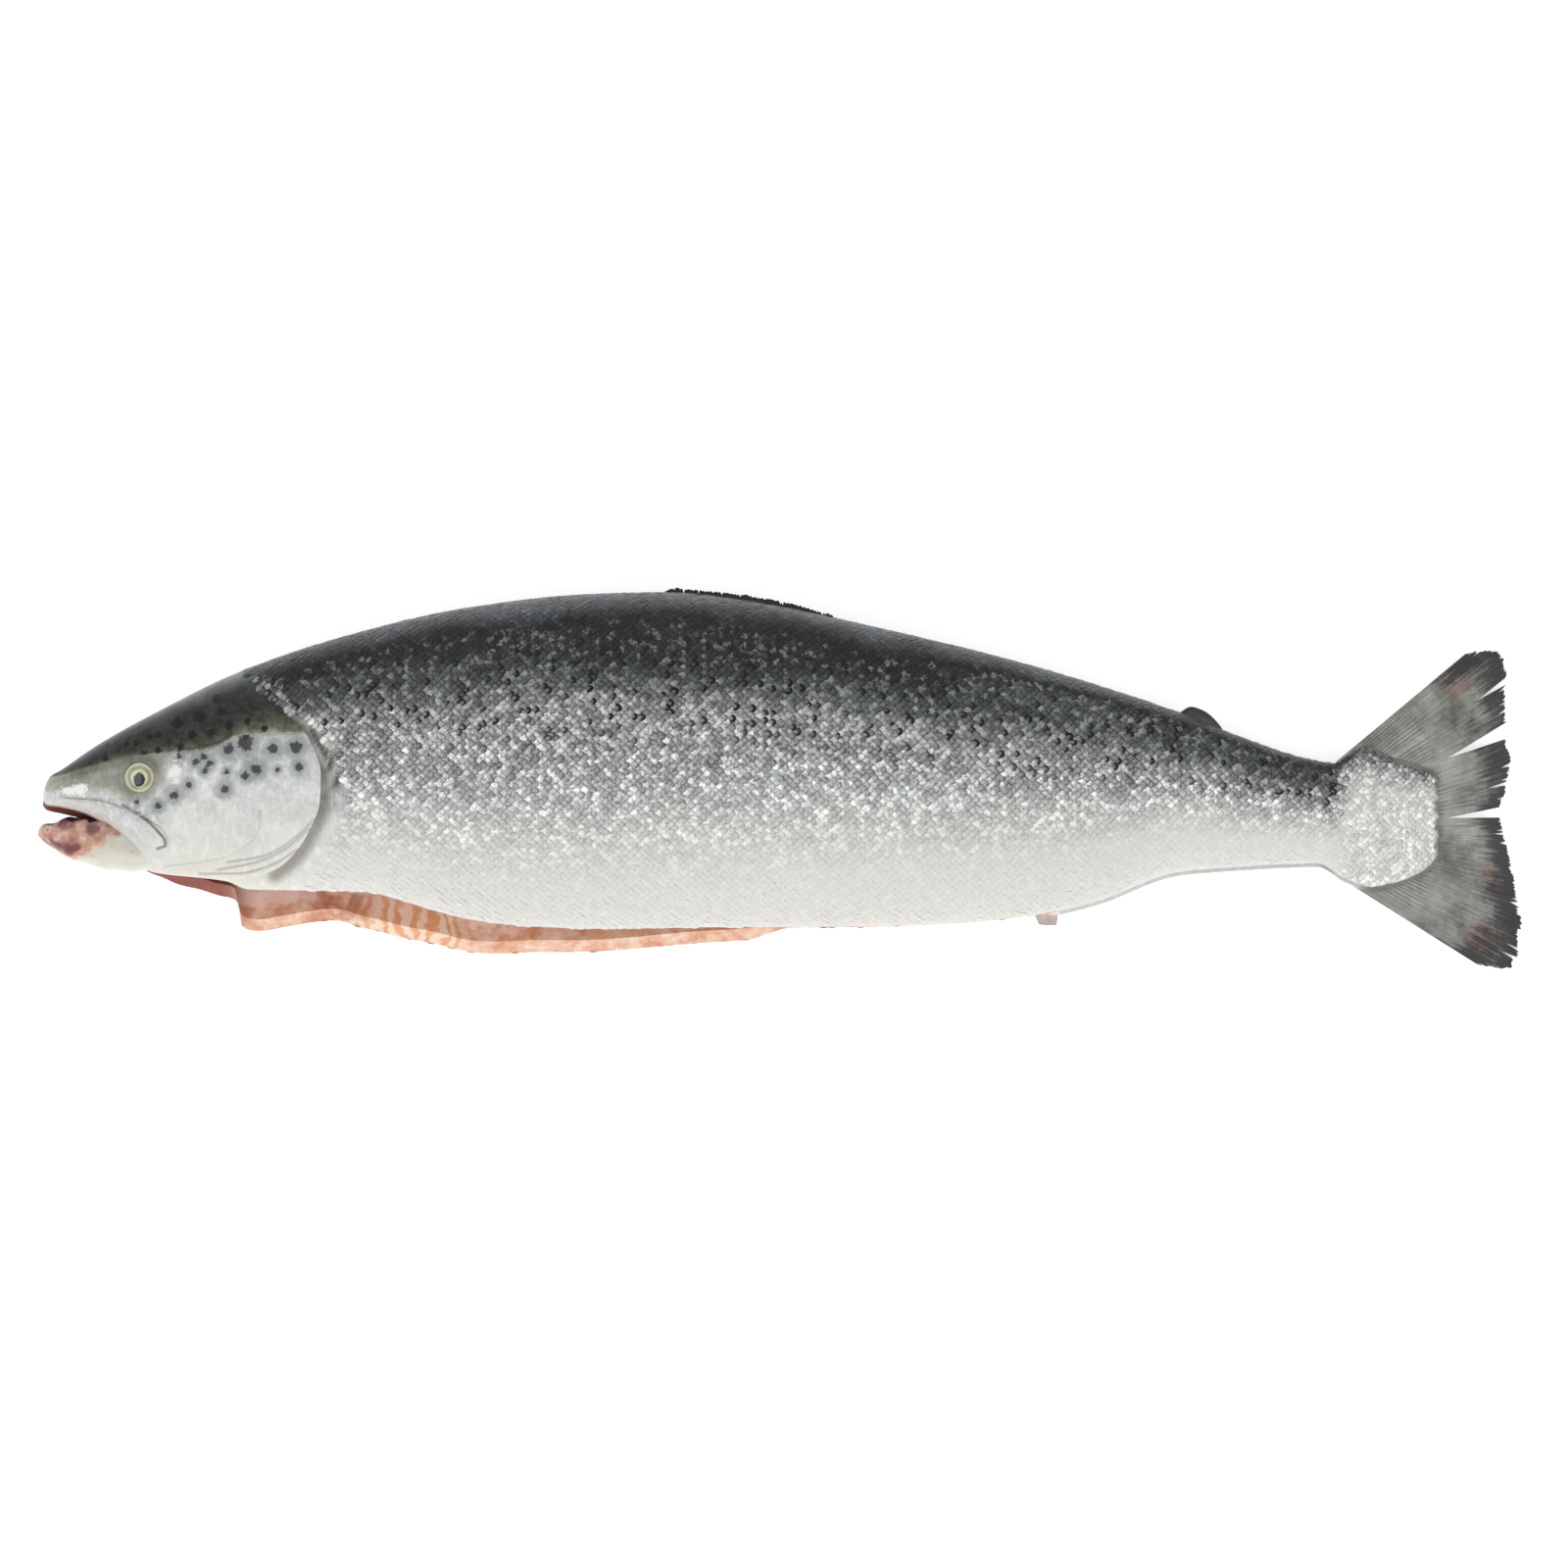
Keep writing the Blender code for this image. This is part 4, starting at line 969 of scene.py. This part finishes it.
mesh_piece("lower_jaw", jaw_vertices, tube_faces(len(jaw_stops), 64),
           {"raw": jaw_raw, "dark_top_line": jaw_dark_top_line, "blood": jaw_blood}, (jaw_material(),))  # fmt: skip

# Each eye is a flattened clear ball in a soft socket: an egg-shaped pupil, a bright ring
# round it, a grey-green iris and a cream rim.
EYE_RISE = 2.1
EYE_SINK = 1.25
EYE_DEPTH = 3.2
EYE_SLANT = math.tan(math.radians(10))
PUPIL = (2.85, 3.7)
PUPIL_SHIFT = (-0.3, -0.4)


def eye_material():
    material, tree, shader = start_material("wet_eye", 0.12, 1.0)
    shader.inputs["Coat Roughness"].default_value = 0.03
    wander = calc(tree, "MULTIPLY_ADD", noise(tree, 500, 3), 0.1, -0.05)
    out = calc(tree, "ADD", attribute(tree, "out"), wander)
    colour = colour_ramp(tree, out, (
        (0.0, (30, 34, 44)), (0.33, (42, 48, 62)), (0.36, (216, 214, 168)), (0.5, (208, 206, 156)),
        (0.58, (150, 151, 132)), (0.72, (146, 147, 130)), (0.8, (196, 197, 152)), (0.92, (202, 202, 160)),
        (0.97, (146, 148, 132)), (1.0, (106, 108, 102)),
    ))  # fmt: skip
    tree.links.new(colour, shader.inputs["Base Color"])
    return material


eye_finish = eye_material()
for name, side in (("eye_left", 1), ("eye_right", -1)):
    spokes, hoops = 56, 22
    angle = np.linspace(0, math.tau, spokes, endpoint=False)
    radius = EYE_RADIUS * np.linspace(0, 1, hoops + 1)[1:]
    dx, dy = radius[:, None] * np.cos(angle), radius[:, None] * np.sin(angle)
    centre = float(skin_height(*EYE_CENTRE, side))
    dome = EYE_RISE * (1 - (radius[:, None] / EYE_RADIUS) ** 2.2) - EYE_SINK + EYE_SLANT * dx
    top = world_place(EYE_CENTRE[0] + dx, EYE_CENTRE[1] + dy, centre + side * dome)
    base = world_place(EYE_CENTRE[0] + dx, EYE_CENTRE[1] + dy, centre + side * (EYE_SLANT * dx - EYE_DEPTH))
    crown = world_place(EYE_CENTRE[0], EYE_CENTRE[1], centre + side * (EYE_RISE - EYE_SINK))
    foot = world_place(EYE_CENTRE[0], EYE_CENTRE[1], centre - side * EYE_DEPTH)
    lobe = 1 + 0.22 * np.cos(angle + math.radians(60))
    pupil = np.hypot((dx - PUPIL_SHIFT[0]) / PUPIL[0], (dy - PUPIL_SHIFT[1]) / PUPIL[1]) / lobe
    ringed = radius[:, None] / EYE_RADIUS * np.ones_like(dx)
    out = np.where(pupil < 1, 0.35 * pupil, 0.36 + 0.64 * np.clip((ringed - 0.4) / 0.6, 0, 1))
    eye_vertices = [*top.reshape(-1, 3), *base[::-1].reshape(-1, 3), crown, foot]
    outs = [*out.ravel(), *np.ones(out.size), 0.0, 1.0]
    mesh_piece(name, eye_vertices, tube_faces(2 * hoops, spokes), {"out": outs}, (eye_finish,))

# The fins are thin webs stiffened by rays that fan out from the root. The tail is split and
# frayed. Of the back fin a black ragged line is left, and of the vent fin a cut stub.
TAIL_ROOT = ((655, 9.6), (678, -2), (688, -17), (676, -34), (646, -42.4))
TAIL_EDGE = (
    (721.7, 65), (729.1, 66.8), (738.5, 66.8), (742.2, 62.5), (742.6, 51.4), (742.9, 30.1),
    (742.5, 20), (745.2, 11.5), (743, -1), (739, -16), (742.8, -31.6), (746.9, -50.9),
    (750.6, -75.6), (748.4, -91.3), (743.5, -97), (729.6, -94.9),
)  # fmt: skip
TAIL_TEARS = (
    (0.169, 0.77, 0.0085), (0.295, 0.5, 0.021), (0.433, 0.8, 0.005), (0.51, 0.46, 0.0135),
    (0.591, 0.92, 0.005), (0.752, 0.92, 0.006),
)  # fmt: skip
TAIL_EDGE_HEIGHT = 0.75
TAIL_HALF = (2.1, 0.45)
TAIL_FRAY = 0.04  # how much of a ray is worn off
RIB_HEIGHT = 0.12
WEB_SINK = 0.1
WEB_CLEAR_OF_TABLE = 0.12
DORSAL_ROOT = ((314, 91), (360, 87), (407, 76))
DORSAL_EDGE = (
    (315, 95.6), (320, 97.6), (330, 97.2), (345, 95.9), (362, 93.2), (380, 89.6), (398, 85),
    (406, 80.6),
)  # fmt: skip
ADIPOSE_ROOT = ((574, 31), (585, 27.5), (597, 22.5))
ADIPOSE_EDGE = ((576.5, 34.8), (581.5, 37.4), (588, 35.4), (594, 30.5), (597.4, 26.2))
VENT_ROOT = ((500, -64), (508, -64), (516, -62.5))
VENT_EDGE = ((503, -69), (505.5, -73.2), (513.5, -73.6), (514.5, -66))


def fin_material(name, pale, dark, stain, edge_start):
    material, tree, shader = start_material(name, 0.4, 0.3, 800, 0.15)
    out, ray, tint, fan = (attribute(tree, key) for key in ("out", "ray", "shade", "fan"))
    deeper, paler = (tuple(min(255, int(c * much)) for c in pale) for much in (0.62, 1.22))
    patches = colour_ramp(tree, noise(tree, 55, 6, 0.7), ((0.3, deeper), (0.5, pale), (0.7, paler)))
    along_rays = node(tree, "ShaderNodeCombineXYZ", None, {"X": calc(tree, "MULTIPLY", fan, 95.0), "Y": out})
    streak = node(tree, "ShaderNodeTexNoise", None,
                  {"Vector": along_rays.outputs[0], "Scale": 2.2, "Detail": 5.0})  # fmt: skip
    streak = calc(tree, "MULTIPLY_ADD", streak.outputs["Fac"], 1.5, 0.25)
    web = brightened(tree, patches, calc(tree, "SUBTRACT", streak, calc(tree, "MULTIPLY", ray, 0.14)))
    ragged = calc(tree, "MULTIPLY_ADD", noise(tree, 75, 5, 0.7), 0.9, -0.45)
    ragged = calc(tree, "MULTIPLY_ADD", calc(tree, "SUBTRACT", streak, 1.0), 0.8, ragged)
    reddened = step(tree, calc(tree, "ADD", tint, ragged), 0.25, 0.9)
    web = mix(tree, calc(tree, "MULTIPLY", reddened, 0.6), web, stain)
    reach = calc(tree, "MULTIPLY_ADD", ragged, 0.55, out)
    margin = calc(tree, "MULTIPLY", step(tree, reach, edge_start, edge_start + 0.2), 0.92)
    colour = mix(tree, margin, web, dark)
    tree.links.new(colour, shader.inputs["Base Color"])
    return material


def fin_height(along, out, sinks):
    start = axis_height(along)
    return start + (TAIL_EDGE_HEIGHT - start) * out**1.3 if sinks else start


def web(name, root, edge, halves, columns, material, tears=(), fray=0.0, sinks=False, stains=()):
    """A fin's web, thicker at the root, with its tears and its ragged edge."""
    inner, outer = trace(root), trace(edge)
    ragged = random.Random(name)
    shares = [c / columns for c in range(columns + 1)]
    shares = [s for s in shares if not any(abs(s - at) < half for at, _, half in tears)]
    tufts = [ragged.random() for _ in range(columns // 6 + 2)]
    stays = {}
    for s in shares:
        worn = 0.5 * tufts[int(s * columns / 6)] + 0.5 * ragged.random() ** 1.5
        stays[s] = 0.985 - fray * worn * (3 if ragged.random() > 0.93 else 1)
    for at, depth, half in tears:
        for s, keep in ((at - half, 0.97), (at, depth), (at + half, 0.97)):
            stays[s] = keep
    shares = sorted(stays)
    rows = 26
    out = np.linspace(0, 1, rows + 1)[None, :] * np.array([stays[s] for s in shares])[:, None]
    x0, y0 = (v[:, None] for v in inner(np.array(shares)))
    x1, y1 = (v[:, None] for v in outer(np.array(shares)))
    along, up = x0 + (x1 - x0) * out, y0 + (y1 - y0) * out
    half = halves[0] + (halves[1] - halves[0]) * out**0.7
    ribbed = RIB_HEIGHT * np.cos(np.array(shares)[:, None] * columns / 3 * math.tau) * out
    middle = fin_height(along, out, sinks)
    top = world_place(along, up, middle + half * (1 + ribbed) - WEB_SINK)
    under = world_place(along, up, np.maximum(middle - half, WEB_CLEAR_OF_TABLE))
    stain = np.zeros(along.shape)
    for x, y, reach in stains:
        stain = np.maximum(stain, ramp(-np.hypot(along - x, up - y), -reach, 0))
    fan = np.array(shares)[:, None] * np.ones_like(along)
    fields = {"out": out, "ray": 0.5 + 0.5 * ribbed / RIB_HEIGHT, "shade": stain, "fan": fan}
    thin_piece(name, top, under, fields, material, 50)


def ray_tree():
    tree, given = new_tree("fin_rays", (("Thickness", "Float"), ("Sides", "Int"), ("Material", "Material")))
    line = node(tree, "GeometryNodeMeshToCurve", None, {0: given["Geometry"]}).outputs[0]
    taper = node(tree, "GeometryNodeInputNamedAttribute", {"data_type": "FLOAT"}, {"Name": "taper"})
    wide = calc(tree, "MULTIPLY", taper.outputs["Attribute"], given["Thickness"])
    line = node(tree, "GeometryNodeSetCurveRadius", None, {"Curve": line, "Radius": wide}).outputs[0]
    profile = node(tree, "GeometryNodeCurvePrimitiveCircle", None,
                   {"Resolution": given["Sides"], "Radius": 1.0})  # fmt: skip
    tube = node(tree, "GeometryNodeCurveToMesh", None,
                {"Curve": line, "Profile Curve": profile.outputs[0], "Fill Caps": True})  # fmt: skip
    if "Scale" in tube.inputs:
        tree.links.new(wide, tube.inputs["Scale"])
    finish_tree(tree, tube.outputs[0], given["Material"])
    return tree


def ray_guide(root, edge, count, tears, reach, sinks, half):
    """Lines on the upper face of a fin, fanned from root to edge and forked near the end."""
    inner, outer = trace(root), trace(edge)
    uneven = random.Random("rays")
    vertices, edges, fields = [], [], {key: [] for key in ("taper", "out", "ray", "shade", "fan")}
    for c in range(count):
        share = (c + 0.5) / count
        if any(abs(share - at) < 0.9 * width + 0.004 for at, _, width in tears):
            continue
        end = reach - 0.03 * uneven.random()
        for wander in (-0.25, 0.25):
            for k in range(15):
                out = 0.12 + (end - 0.12) * k / 14
                fork = share + wander / count * max(out - 0.45, 0)
                (x0, y0), (x1, y1) = inner(fork), outer(fork)
                x, y = x0 + (x1 - x0) * out, y0 + (y1 - y0) * out
                thick = half[0] + (half[1] - half[0]) * out**0.7
                height = float(fin_height(x, out, sinks)) + thick - WEB_SINK
                if k:
                    edges.append((len(vertices) - 1, len(vertices)))
                vertices.append(tuple(world_place(float(x), float(y), height)))
                fields["taper"].append(1 - 0.6 * out)
                fields["out"].append(out)
                fields["ray"].append(0.2)
                fields["shade"].append(0.0)
                fields["fan"].append(share)
    guide = bpy.data.meshes.new("ray_guide")
    guide.from_pydata(vertices, edges, [])
    for key, values in fields.items():
        guide.attributes.new(key, "FLOAT", "POINT").data.foreach_set("value", np.array(values, np.float32))
    return guide


tail_finish = fin_material("tail_web", (144, 146, 138), (30, 32, 35), (138, 92, 80), 0.68)
black_finish = fin_material("black_web", (44, 46, 48), (12, 13, 14), (60, 40, 38), 0.5)
grey_finish = fin_material("grey_web", (62, 65, 66), (40, 42, 43), (60, 62, 62), 0.6)
pale_finish = fin_material("pale_web", (206, 196, 188), (150, 138, 132), (206, 160, 148), 0.9)
tail_stains = ((716, 52, 22), (734, -46, 16), (729, -80, 22), (738, -10, 12), (733, -24, 10), (741, -54, 14))
web("tail_fin", TAIL_ROOT, TAIL_EDGE, TAIL_HALF, 330, tail_finish, TAIL_TEARS, TAIL_FRAY, True, tail_stains)
web("back_fin_stub", DORSAL_ROOT, DORSAL_EDGE, (1.3, 0.7), 160, black_finish, fray=0.24)
web("adipose_fin", ADIPOSE_ROOT, ADIPOSE_EDGE, (1.3, 0.5), 40, grey_finish)
web("vent_flap", VENT_ROOT, VENT_EDGE, (1.3, 0.6), 30, pale_finish, fray=0.08)
rays = ray_tree()
grow("tail_rays", ray_guide(TAIL_ROOT, TAIL_EDGE, 62, TAIL_TEARS, 0.975, True, TAIL_HALF), rays,
     {"Thickness": 0.22 * MM, "Sides": 5, "Material": tail_finish})  # fmt: skip
